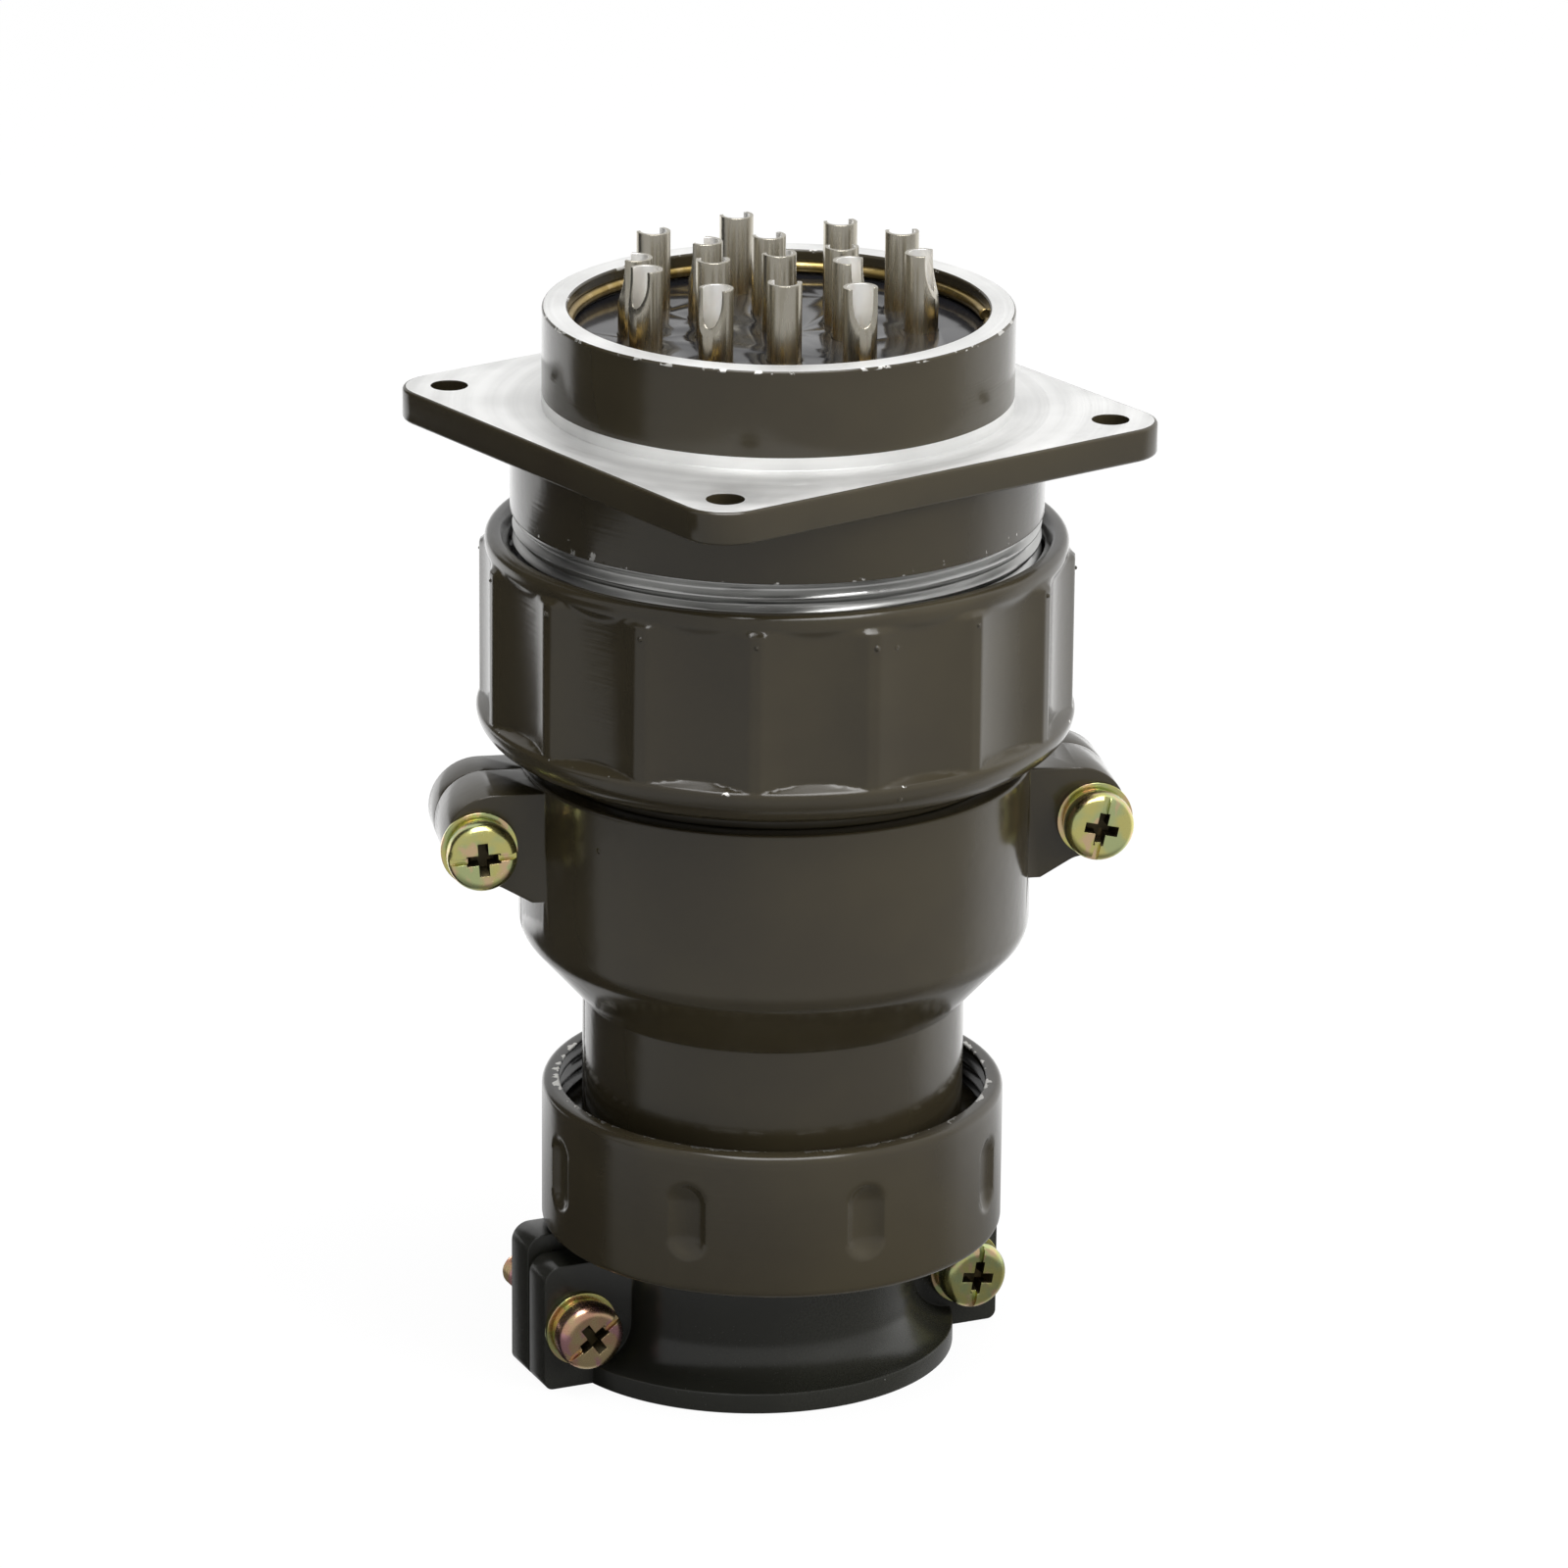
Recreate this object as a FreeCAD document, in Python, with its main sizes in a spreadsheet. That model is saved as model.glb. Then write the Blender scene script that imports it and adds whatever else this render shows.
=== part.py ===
import FreeCAD, Part
import math
import os
import Sketcher

# Circular multi-contact connector: a square-flange receptacle mated with a straight cable plug.
# Millimetres. The axis is Z, the origin is on the axis at the lower face of the cable clamp,
# and the receptacle is at the top. The screws of the plug housing point to -Y.

doc = FreeCAD.newDocument("circular_connector")
sheet = doc.addObject("Spreadsheet::Sheet", "Sizes")

SIZES = {
    # Clearances
    "SeatGap": 0.05,
    "LooseGap": 0.3,
    "FitGap": 0.05,
    # Cable clamp
    "ClampTurn": 14.0,
    "CableRadius": 11.8,
    "BowWall": 2.5,
    "LipRadius": 17.8,
    "LipHeight": 1.8,
    "LipFlare": 3.5,
    "ClampBodyHeight": 12.9,
    "SaddleHeight": 11.4,
    "SaddleTravel": 4.2,
    "SplitGap": 0.4,
    "RearEarThickness": 3.7,
    "SaddleEarThickness": 3.5,
    "ClampSplit": 3.3,
    "ClampEarReach": 21.6,
    "ClampEarCorner": 1.6,
    "ClampEarMargin": 3.3,
    "ClampScrewHeight": 5.5,
    "ClampScrewLength": 13.0,
    "TubeRadius": 14.9,
    "CollarRadius": 18.0,
    "CollarThickness": 3.2,
    # Union nut
    "UnionTurn": 14.0,
    "UnionRadius": 20.0,
    "UnionHeight": 13.0,
    "UnionLip": 2.0,
    "UnionRim": 0.9,
    "UnionFoot": 0.6,
    "UnionGap": 0.2,
    "FluteCount": 8,
    "FluteLength": 8.4,
    "FluteRadius": 2.6,
    "FluteEnd": 2.55,
    "FluteDepth": 0.7,
    "FluteDrop": 2.2,
    # Plug housing
    "NeckRadius": 16.5,
    "NeckBore": 13.6,
    "NeckLength": 15.8,
    "NeckThreadRadius": 18.2,
    "NeckThreadLength": 4.4,
    "HousingRadius": 22.0,
    "HousingWall": 2.3,
    "HousingLength": 15.3,
    "ConeHeight": 6.1,
    "ShoulderRound": 3.0,
    "HousingScrewDrop": 5.0,
    "FrontEarThickness": 6.8,
    "BackEarThickness": 3.9,
    "EarLength": 9.3,
    "EarMargin": 4.7,
    "EarHeight": 9.8,
    "EarTopRound": 4.3,
    "EarFootRound": 3.0,
    "EarWebRound": 2.4,
    "EarDrop": 0.4,
    "EarSlant": 2.9,
    "EarWeb": 1.8,
    "EarWebReach": 3.1,
    "GrooveDepth": 0.8,
    "GrooveLength": 2.8,
    "GrooveDrop": 2.2,
    # Coupling nut
    "CouplingTurn": -2.45,
    "NutGap": 1.4,
    "CouplingHeight": 18.7,
    "CouplingLip": 5.2,
    "GripRadius": 25.4,
    "BeadRadius": 25.6,
    "BeadRound": 2.5,
    "BeadHeight": 3.4,
    "BeadSlope": 0.9,
    "BandRadius": 25.15,
    "BandHeight": 1.7,
    "BandSlope": 0.8,
    "BandChamfer": 0.5,
    "MouthChamfer": 0.8,
    "ScallopCount": 16,
    "ScallopRadius": 20.0,
    "ScallopFloor": 24.5,
    # Plug barrel
    "BarrelNeckRadius": 20.2,
    "BarrelFlangeRadius": 22.3,
    "BarrelFlange": 3.5,
    "BarrelBore": 17.0,
    "NoseRadius": 19.6,
    "NoseLength": 10.2,
    "NoseLedge": 1.1,
    "LedgeReach": 0.8,
    # Receptacle shell
    "ReceptacleTurn": 26.4,
    "ThreadRadius": 22.5,
    "ThreadLength": 12.0,
    "FrontRadius": 22.7,
    "FrontLength": 18.2,
    "CavityRadius": 20.0,
    "CavityDepth": 11.2,
    "StopLedge": 1.5,
    "StopReach": 1.0,
    "FlangeSide": 48.0,
    "FlangeThickness": 2.8,
    "FlangeCorner": 4.0,
    "BoltMargin": 4.0,
    "BoltCount": 4,
    "BoltRadius": 1.6,
    "RearRadius": 20.0,
    "RearLength": 8.5,
    "RearBore": 17.8,
    "RimBreak": 0.3,
    "KeyHeight": 1.1,
    "MasterKeyWidth": 3.0,
    "KeyWidth": 1.6,
    "NearKeyAngle": 80.0,
    "FarKeyAngle": 145.0,
    # Insulators and retaining rings
    "InsulatorGap": 0.2,
    "FacePlay": 0.4,
    "PlugHalf": 8.8,
    "PlugRearHalf": 8.8,
    "ReceptacleRearHalf": 8.7,
    "InsulatorDepth": 2.1,
    "RingWire": 1.0,
    "RingPlay": 0.03,
    "RingGap": 8.0,
    # Contacts
    "ContactReach": 12.7,
    "CupRadius": 1.45,
    "CupBore": 1.1,
    "CupDepth": 5.2,
    "CupStand": 6.7,
    "ScoopDepth": 3.6,
    "ScoopReach": 0.25,
    "ShoulderRadius": 1.9,
    "ShoulderThickness": 2.4,
    "PinRadius": 0.95,
    "PinLength": 9.4,
    "PinTip": 0.5,
    "SocketDepth": 9.5,
    "SocketSink": 0.2,
    # Screws and washers
    "ScrewRadius": 1.45,
    "HeadRadius": 3.0,
    "HeadHeight": 1.9,
    "HeadRound": 0.8,
    "RecessDepth": 1.1,
    "RecessWidth": 0.9,
    "RecessLength": 3.6,
    "ScrewChamfer": 0.4,
    "ClearHole": 1.65,
    "FlatWasherRadius": 3.3,
    "FlatWasher": 0.5,
    "SpringWasherRadius": 2.75,
    "SpringWasher": 0.8,
    "WasherBore": 1.6,
    "SpringSplit": 14.0,
}

for row, (alias, value) in enumerate(SIZES.items(), start=1):
    sheet.set(f"A{row}", alias)
    sheet.set(f"B{row}", str(value))
    sheet.setAlias(f"B{row}", alias)
doc.recompute()


class Size:
    """A number together with the expression that gives it from the sheet."""

    def __init__(self, number, text):
        self.number = number
        self.text = text

    @staticmethod
    def of(other):
        if isinstance(other, Size):
            return other
        return Size(other, f"({other:.6f})")

    def __add__(self, other):
        other = Size.of(other)
        return Size(self.number + other.number, f"({self.text} + {other.text})")

    def __sub__(self, other):
        other = Size.of(other)
        return Size(self.number - other.number, f"({self.text} - {other.text})")

    def __mul__(self, other):
        other = Size.of(other)
        return Size(self.number * other.number, f"({self.text} * {other.text})")

    def __truediv__(self, other):
        other = Size.of(other)
        return Size(self.number / other.number, f"({self.text} / {other.text})")

    def __radd__(self, other):
        return Size.of(other) + self

    def __rsub__(self, other):
        return Size.of(other) - self

    def __rmul__(self, other):
        return Size.of(other) * self

    def __neg__(self):
        return Size(-self.number, f"(-1 * {self.text})")


class Sizes:
    """The sheet's cells as sizes: cell.NeckRadius and so on."""

    def __getattr__(self, alias):
        return Size(SIZES[alias], f"Sizes.{alias}")


cell = Sizes()
ORIGIN = Size(0.0, "0")

# Heights of the main faces, stacked from the lower face of the cable clamp
union_bottom = cell.ClampBodyHeight + cell.UnionGap
union_floor = union_bottom + cell.UnionLip
union_top = union_bottom + cell.UnionHeight
collar_bottom = union_floor + cell.SeatGap
collar_top = collar_bottom + cell.CollarThickness
neck_bottom = collar_top + cell.SeatGap
cone_bottom = neck_bottom + cell.NeckLength
cone_top = cone_bottom + cell.ConeHeight
housing_top = cone_top + cell.HousingLength
coupling_bottom = housing_top + cell.NutGap
coupling_floor = coupling_bottom + cell.CouplingLip
coupling_top = coupling_bottom + cell.CouplingHeight
flange_seat = coupling_floor + cell.SeatGap
nose_base = flange_seat + cell.BarrelFlange
shell_bottom = nose_base + cell.SeatGap
nose_top = nose_base + cell.NoseLength
flange_bottom = shell_bottom + cell.FrontLength
flange_top = flange_bottom + cell.FlangeThickness
rim_top = flange_top + cell.RearLength
cavity_top = shell_bottom + cell.CavityDepth
stop_top = cavity_top + cell.StopLedge
rear_face = rim_top - cell.InsulatorDepth
receptacle_split = rear_face - cell.ReceptacleRearHalf
plug_face = nose_top + cell.InsulatorGap
plug_split = plug_face - cell.PlugHalf
plug_rear_face = plug_split - cell.PlugRearHalf
receptacle_face = plug_face + cell.FacePlay
barrel_end = housing_top - cell.GrooveDrop - cell.GrooveLength + cell.InsulatorGap
ear_reach = cell.HousingRadius + cell.EarLength

# Contact positions: share of the reach from the axis and angle from +X, counted round the receptacle
CONTACTS = (
    (0.992, 138.0), (0.992, 97.0), (0.898, 53.0), (1.000, 25.0),
    (0.945, -8.0), (0.976, 293.0), (0.724, 263.0), (0.969, 235.0),
    (0.976, 196.0), (0.961, 178.0), (0.567, 140.0), (0.449, 89.0),
    (0.449, 13.0), (0.496, 330.0), (0.472, 192.0), (0.000, 0.0),
)
# How far each cup's opening is turned from facing straight outward
CUP_TWIST = (
    -14.0, 22.0, 60.0, 75.0, -38.0, -12.0, 50.0, -6.0,
    14.0, 0.0, -20.0, 30.0, 85.0, -25.0, 8.0, 120.0,
)


def new_body(label):
    body = doc.addObject("PartDesign::Body", label)
    body.Label = label
    return body


def plane(body, role):
    return next(f for f in body.Origin.OriginFeatures if f.Role == role)


def new_sketch(body, role, offset=None):
    """A sketch on one of the body's origin planes, moved along the plane's normal."""
    sketch = body.newObject("Sketcher::SketchObject", f"{body.Label}_sketch")
    sketch.AttachmentSupport = (plane(body, role), [""])
    sketch.MapMode = "FlatFace"
    if offset is not None:
        sketch.AttachmentOffset.Base.z = offset.number
        sketch.setExpression("AttachmentOffset.Base.z", offset.text)
    return sketch


def dimension(sketch, kind, *where_and_size):
    """Adds a dimension and binds it to the sheet."""
    *where, size = where_and_size
    index = sketch.addConstraint(Sketcher.Constraint(kind, *where, size.number))
    if "Sizes." in size.text:
        sketch.setExpression(f"Constraints[{index}]", size.text)


def pin_point(sketch, geometry, position, x, y):
    dimension(sketch, "DistanceX", geometry, position, x)
    dimension(sketch, "DistanceY", geometry, position, y)


def outline(sketch, corners):
    """A closed outline of straight edges: each corner is (x, y) or (x, y, radius of its arc)."""
    count = len(corners)
    points = [FreeCAD.Vector(Size.of(c[0]).number, Size.of(c[1]).number, 0) for c in corners]
    rounds = [c[2] if len(c) > 2 else None for c in corners]
    starts = []
    ends = []
    for i, corner in enumerate(points):
        into = (corner - points[i - 1]).normalize()
        away = (points[(i + 1) % count] - corner).normalize()
        if rounds[i] is None:
            ends.append(corner)
            starts.append(corner)
            continue
        turn = into.getAngle(away)
        reach = rounds[i].number * math.tan(turn / 2)
        ends.append(corner - into * reach)
        starts.append(corner + away * reach)
    lines = []
    for i in range(count):
        line = Part.LineSegment(starts[i], ends[(i + 1) % count])
        lines.append(sketch.addGeometry(line, False))
    for i, corner in enumerate(points):
        before = lines[i - 1]
        after = lines[i]
        x = Size.of(corners[i][0])
        y = Size.of(corners[i][1])
        if rounds[i] is None:
            sketch.addConstraint(Sketcher.Constraint("Coincident", before, 2, after, 1))
            pin_point(sketch, after, 1, x, y)
            continue
        into = (corner - ends[i]).normalize()
        away = (starts[i] - corner).normalize()
        side = 1.0 if into.cross(away).z > 0 else -1.0
        normal = FreeCAD.Vector(-into.y, into.x, 0) * side
        centre = ends[i] + normal * rounds[i].number
        first = math.atan2(ends[i].y - centre.y, ends[i].x - centre.x)
        last = math.atan2(starts[i].y - centre.y, starts[i].x - centre.x)
        low, high = (first, last) if side > 0 else (last, first)
        circle = Part.Circle(centre, FreeCAD.Vector(0, 0, 1), rounds[i].number)
        if high < low:
            high += 2 * math.pi
        arc = sketch.addGeometry(Part.ArcOfCircle(circle, low, high), False)
        at_before, at_after = (1, 2) if side > 0 else (2, 1)
        sketch.addConstraint(Sketcher.Constraint("Tangent", before, 2, arc, at_before))
        sketch.addConstraint(Sketcher.Constraint("Tangent", arc, at_after, after, 1))
        dimension(sketch, "Radius", arc, rounds[i])
        point = sketch.addGeometry(Part.Point(corner), True)
        pin_point(sketch, point, 1, x, y)
        sketch.addConstraint(Sketcher.Constraint("PointOnObject", point, 1, before))
        sketch.addConstraint(Sketcher.Constraint("PointOnObject", point, 1, after))


def circle(sketch, x, y, radius):
    x = Size.of(x)
    y = Size.of(y)
    middle = FreeCAD.Vector(x.number, y.number, 0)
    shape = Part.Circle(middle, FreeCAD.Vector(0, 0, 1), radius.number)
    index = sketch.addGeometry(shape, False)
    pin_point(sketch, index, 3, x, y)
    dimension(sketch, "Radius", index, radius)
    return index


def turned(body, corners, angle=360.0, reverse=False, role="XZ_Plane"):
    """Revolves an outline round the sketch's vertical axis and adds it to the body."""
    sketch = new_sketch(body, role)
    outline(sketch, corners)
    feature = body.newObject("PartDesign::Revolution", f"{body.Label}_turning")
    feature.Profile = (sketch, [""])
    feature.ReferenceAxis = (sketch, ["V_Axis"])
    feature.Angle = angle
    feature.Reversed = reverse
    return feature


def padded(body, sketch, length, reverse=False):
    feature = body.newObject("PartDesign::Pad", f"{body.Label}_pad")
    feature.Profile = (sketch, [""])
    feature.Length = length.number
    feature.setExpression("Length", length.text)
    feature.Reversed = reverse
    return feature


def pocketed(body, sketch, length, reverse=False, both=False):
    feature = body.newObject("PartDesign::Pocket", f"{body.Label}_pocket")
    feature.Profile = (sketch, [""])
    feature.Length = length.number
    feature.setExpression("Length", length.text)
    feature.Reversed = reverse
    feature.Midplane = both
    return feature


def ring_of(body, feature, sketch, axis, count):
    """Repeats a feature evenly round an axis of its sketch."""
    pattern = body.newObject("PartDesign::PolarPattern", f"{body.Label}_ring")
    pattern.Originals = [feature]
    pattern.Axis = (sketch, [axis])
    pattern.Angle = 360
    pattern.Occurrences = int(count.number)
    if "Sizes." in count.text:
        pattern.setExpression("Occurrences", count.text)
    body.Tip = pattern
    return pattern


def mirrored(body, features):
    """Repeats features on the other side of the body's YZ plane."""
    pattern = body.newObject("PartDesign::Mirrored", f"{body.Label}_mirror")
    pattern.Originals = features
    pattern.MirrorPlane = (plane(body, "YZ_Plane"), [""])
    body.Tip = pattern
    return pattern


def place(body, x=ORIGIN, y=ORIGIN, z=ORIGIN, turn=ORIGIN):
    """Moves a finished body and turns it about the vertical."""
    base = FreeCAD.Vector(Size.of(x).number, Size.of(y).number, Size.of(z).number)
    body.Placement = FreeCAD.Placement(base, FreeCAD.Rotation(FreeCAD.Vector(0, 0, 1), turn.number))
    for axis, size in (("x", x), ("y", y), ("z", z)):
        if "Sizes." in Size.of(size).text:
            body.setExpression(f"Placement.Base.{axis}", size.text)
    if "Sizes." in turn.text:
        body.setExpression("Placement.Rotation.Angle", turn.text)


def cosine(angle):
    return Size(math.cos(math.radians(angle.number)), f"cos({angle.text} * 1 deg)")


def sine(angle):
    return Size(math.sin(math.radians(angle.number)), f"sin({angle.text} * 1 deg)")


# Cable clamp


def bow_corners(top):
    """Section of the clamp's half-round wall, with the flared lip at its foot."""
    wall = cell.CableRadius + cell.BowWall
    return [
        (cell.CableRadius, ORIGIN),
        (cell.LipRadius, ORIGIN),
        (cell.LipRadius, cell.LipHeight),
        (wall, cell.LipHeight, cell.LipFlare - cell.SeatGap),
        (wall, top),
        (cell.CableRadius, top),
    ]


def clamp_ear(body, face, height, thickness, reverse, hole):
    """An ear at each end of a clamp half: face is the distance of its split face behind the bow."""
    sketch = new_sketch(body, "XZ_Plane", face)
    root = cell.CableRadius + cell.LooseGap
    outline(sketch, [
        (root, ORIGIN),
        (cell.ClampEarReach, ORIGIN, cell.ClampEarCorner / 2),
        (cell.ClampEarReach, height, cell.ClampEarCorner),
        (root, height),
    ])
    circle(sketch, cell.ClampEarReach - cell.ClampEarMargin, cell.ClampScrewHeight, hole)
    ear = padded(body, sketch, thickness, reverse)
    doc.recompute()
    mirrored(body, [ear])


def cut_half(body, split, height, front):
    """Takes away the front or the rear of a bow, beyond its split face."""
    sketch = new_sketch(body, "XY_Plane", height)
    reach = cell.LipRadius + cell.BowWall
    near = -split
    far = -reach if front else reach
    outline(sketch, [(-reach, near), (reach, near), (reach, far), (-reach, far)])
    return pocketed(body, sketch, height)


def clamp_body():
    """The fixed half: a collar held by the union nut, and the rear bow with its tapped ears."""
    body = new_body("clamp_body")
    turned(body, bow_corners(cell.ClampBodyHeight))
    doc.recompute()
    cut_half(body, -cell.ClampSplit, cell.ClampBodyHeight, True)
    turned(body, [
        (cell.CableRadius, cell.ClampBodyHeight - cell.UnionGap),
        (cell.TubeRadius, cell.ClampBodyHeight - cell.UnionGap),
        (cell.TubeRadius, collar_bottom),
        (cell.CollarRadius, collar_bottom),
        (cell.CollarRadius, collar_top),
        (cell.CableRadius, collar_top),
    ])
    doc.recompute()
    hole = cell.ScrewRadius + cell.FitGap
    clamp_ear(body, -cell.ClampSplit, cell.ClampBodyHeight, cell.RearEarThickness, True, hole)
    place(body, turn=cell.ClampTurn)
    return body


def clamp_saddle():
    """The loose half, drawn about its own bow and set back by the travel it is closed by."""
    body = new_body("clamp_saddle")
    split = cell.SaddleTravel - cell.ClampSplit + cell.SplitGap
    turned(body, bow_corners(cell.SaddleHeight))
    doc.recompute()
    cut_half(body, split, cell.SaddleHeight, False)
    clamp_ear(body, split, cell.SaddleHeight, cell.SaddleEarThickness, False, cell.ClearHole)
    back = cell.SaddleTravel
    place(body, x=-back * sine(cell.ClampTurn), y=back * cosine(cell.ClampTurn), turn=cell.ClampTurn)
    return body


def union_nut():
    """The ring nut that draws the clamp's collar against the neck, with eight ball-ended flutes."""
    body = new_body("union_nut")
    bore = cell.NeckThreadRadius + cell.LooseGap
    turned(body, [
        (cell.TubeRadius + cell.LooseGap, union_bottom),
        (cell.UnionRadius, union_bottom, cell.UnionFoot),
        (cell.UnionRadius, union_top, cell.UnionRim),
        (bore, union_top, cell.UnionFoot / 2),
        (bore, union_floor),
        (cell.TubeRadius + cell.LooseGap, union_floor),
    ])
    doc.recompute()
    sketch = new_sketch(body, "XZ_Plane")
    middle = cell.UnionRadius - cell.FluteDepth + cell.FluteRadius
    near = cell.UnionRadius - cell.FluteDepth
    high = union_top - cell.FluteDrop
    low = high - cell.FluteLength
    outline(sketch, [
        (middle, low),
        (near, low, cell.FluteEnd),
        (near, high, cell.FluteEnd),
        (middle, high),
    ])
    axis = sketch.addGeometry(
        Part.LineSegment(
            FreeCAD.Vector(middle.number, low.number, 0),
            FreeCAD.Vector(middle.number, high.number, 0),
        ),
        True,
    )
    sketch.addConstraint(Sketcher.Constraint("Coincident", axis, 1, 0, 1))
    sketch.addConstraint(Sketcher.Constraint("Coincident", axis, 2, 3, 1))
    flute = body.newObject("PartDesign::Groove", "union_nut_flute")
    flute.Profile = (sketch, [""])
    flute.ReferenceAxis = (sketch, ["Axis0"])
    flute.Angle = 360
    doc.recompute()
    ring_of(body, flute, sketch, "V_Axis", cell.FluteCount)
    place(body, turn=cell.UnionTurn)
    return body


# Plug housing


def housing_half(label, front):
    """One half shell: barrel, cone and neck in one section, with an ear at each side."""
    body = new_body(label)
    inside = cell.HousingRadius - cell.HousingWall
    groove_top = housing_top - cell.GrooveDrop
    groove_bottom = groove_top - cell.GrooveLength
    turned(body, [
        (cell.NeckBore, neck_bottom),
        (cell.NeckThreadRadius, neck_bottom),
        (cell.NeckThreadRadius, neck_bottom + cell.NeckThreadLength),
        (cell.NeckRadius, neck_bottom + cell.NeckThreadLength),
        (cell.NeckRadius, cone_bottom),
        (cell.HousingRadius, cone_top, cell.ShoulderRound),
        (cell.HousingRadius, housing_top, cell.RimBreak),
        (inside, housing_top),
        (inside, groove_top),
        (inside + cell.GrooveDepth, groove_top),
        (inside + cell.GrooveDepth, groove_bottom),
        (inside, groove_bottom),
        (inside, cone_top + cell.HousingWall / 2),
        (cell.NeckBore, cone_bottom + cell.HousingWall / 2),
    ], 180.0, front)
    doc.recompute()
    sketch = new_sketch(body, "XZ_Plane")
    top = housing_top - cell.EarDrop
    root = cell.HousingRadius - cell.HousingWall / 2
    foot = top - cell.EarHeight
    ledge = foot + cell.EarWeb
    outline(sketch, [
        (root, foot),
        (cell.HousingRadius, foot),
        (cell.HousingRadius + cell.EarWebReach, ledge, cell.EarWebRound),
        (ear_reach - cell.EarSlant, ledge, cell.EarFootRound),
        (ear_reach, top, cell.EarTopRound),
        (root, top),
    ])
    height = housing_top - cell.HousingScrewDrop
    hole = cell.ClearHole if front else cell.ScrewRadius + cell.FitGap
    circle(sketch, ear_reach - cell.EarMargin, height, hole)
    thickness = cell.FrontEarThickness if front else cell.BackEarThickness
    ear = padded(body, sketch, thickness, not front)
    doc.recompute()
    mirrored(body, [ear])
    return body


# Screws and washers


def screw(label, length, x, y, z, turn):
    """A pan-head screw along Y, head towards -Y, with the underside of its head at its origin."""
    body = new_body(label)
    turned(body, [
        (ORIGIN, -cell.HeadHeight),
        (cell.HeadRadius, -cell.HeadHeight, cell.HeadRound),
        (cell.HeadRadius, ORIGIN),
        (cell.ScrewRadius, ORIGIN),
        (cell.ScrewRadius, length - cell.ScrewChamfer),
        (cell.ScrewRadius - cell.ScrewChamfer, length),
        (ORIGIN, length),
    ], role="XY_Plane")
    doc.recompute()
    sketch = new_sketch(body, "XZ_Plane", cell.HeadHeight)
    arm = cell.RecessLength / 2
    half = cell.RecessWidth / 2
    outline(sketch, [
        (-arm, -half), (-half, -half), (-half, -arm), (half, -arm), (half, -half), (arm, -half),
        (arm, half), (half, half), (half, arm), (-half, arm), (-half, half), (-arm, half),
    ])
    pocketed(body, sketch, cell.RecessDepth)
    place(body, x, y, z, turn)
    return body


def washer(label, radius, thickness, split, x, y, z, turn):
    """A flat or split washer along Y, its rear face at its origin."""
    body = new_body(label)
    turned(body, [
        (cell.WasherBore, -thickness),
        (radius, -thickness),
        (radius, ORIGIN),
        (cell.WasherBore, ORIGIN),
    ], angle=360.0 - split.number, role="XY_Plane")
    if "Sizes." in split.text:
        body.Tip.setExpression("Angle", f"360 - {split.text}")
    place(body, x, y, z, turn)
    return body


def fastener(name, side, reach, face, height, length, turn):
    """A screw with its washers on one side: face is how far the ear's face stands in front of the axis."""
    along = reach * side
    suffix = "right" if side > 0 else "left"

    def spot(depth):
        x = along * cosine(turn) + depth * sine(turn)
        y = along * sine(turn) - depth * cosine(turn)
        return x, y, height, turn

    flat = face
    spring = flat + cell.FlatWasher
    head = spring + cell.SpringWasher
    return [
        washer(f"{name}_flat_washer_{suffix}", cell.FlatWasherRadius, cell.FlatWasher, ORIGIN, *spot(flat)),
        washer(f"{name}_spring_washer_{suffix}", cell.SpringWasherRadius, cell.SpringWasher,
               cell.SpringSplit, *spot(spring)),
        screw(f"{name}_screw_{suffix}", length, *spot(head)),
    ]


# Coupling nut


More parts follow.
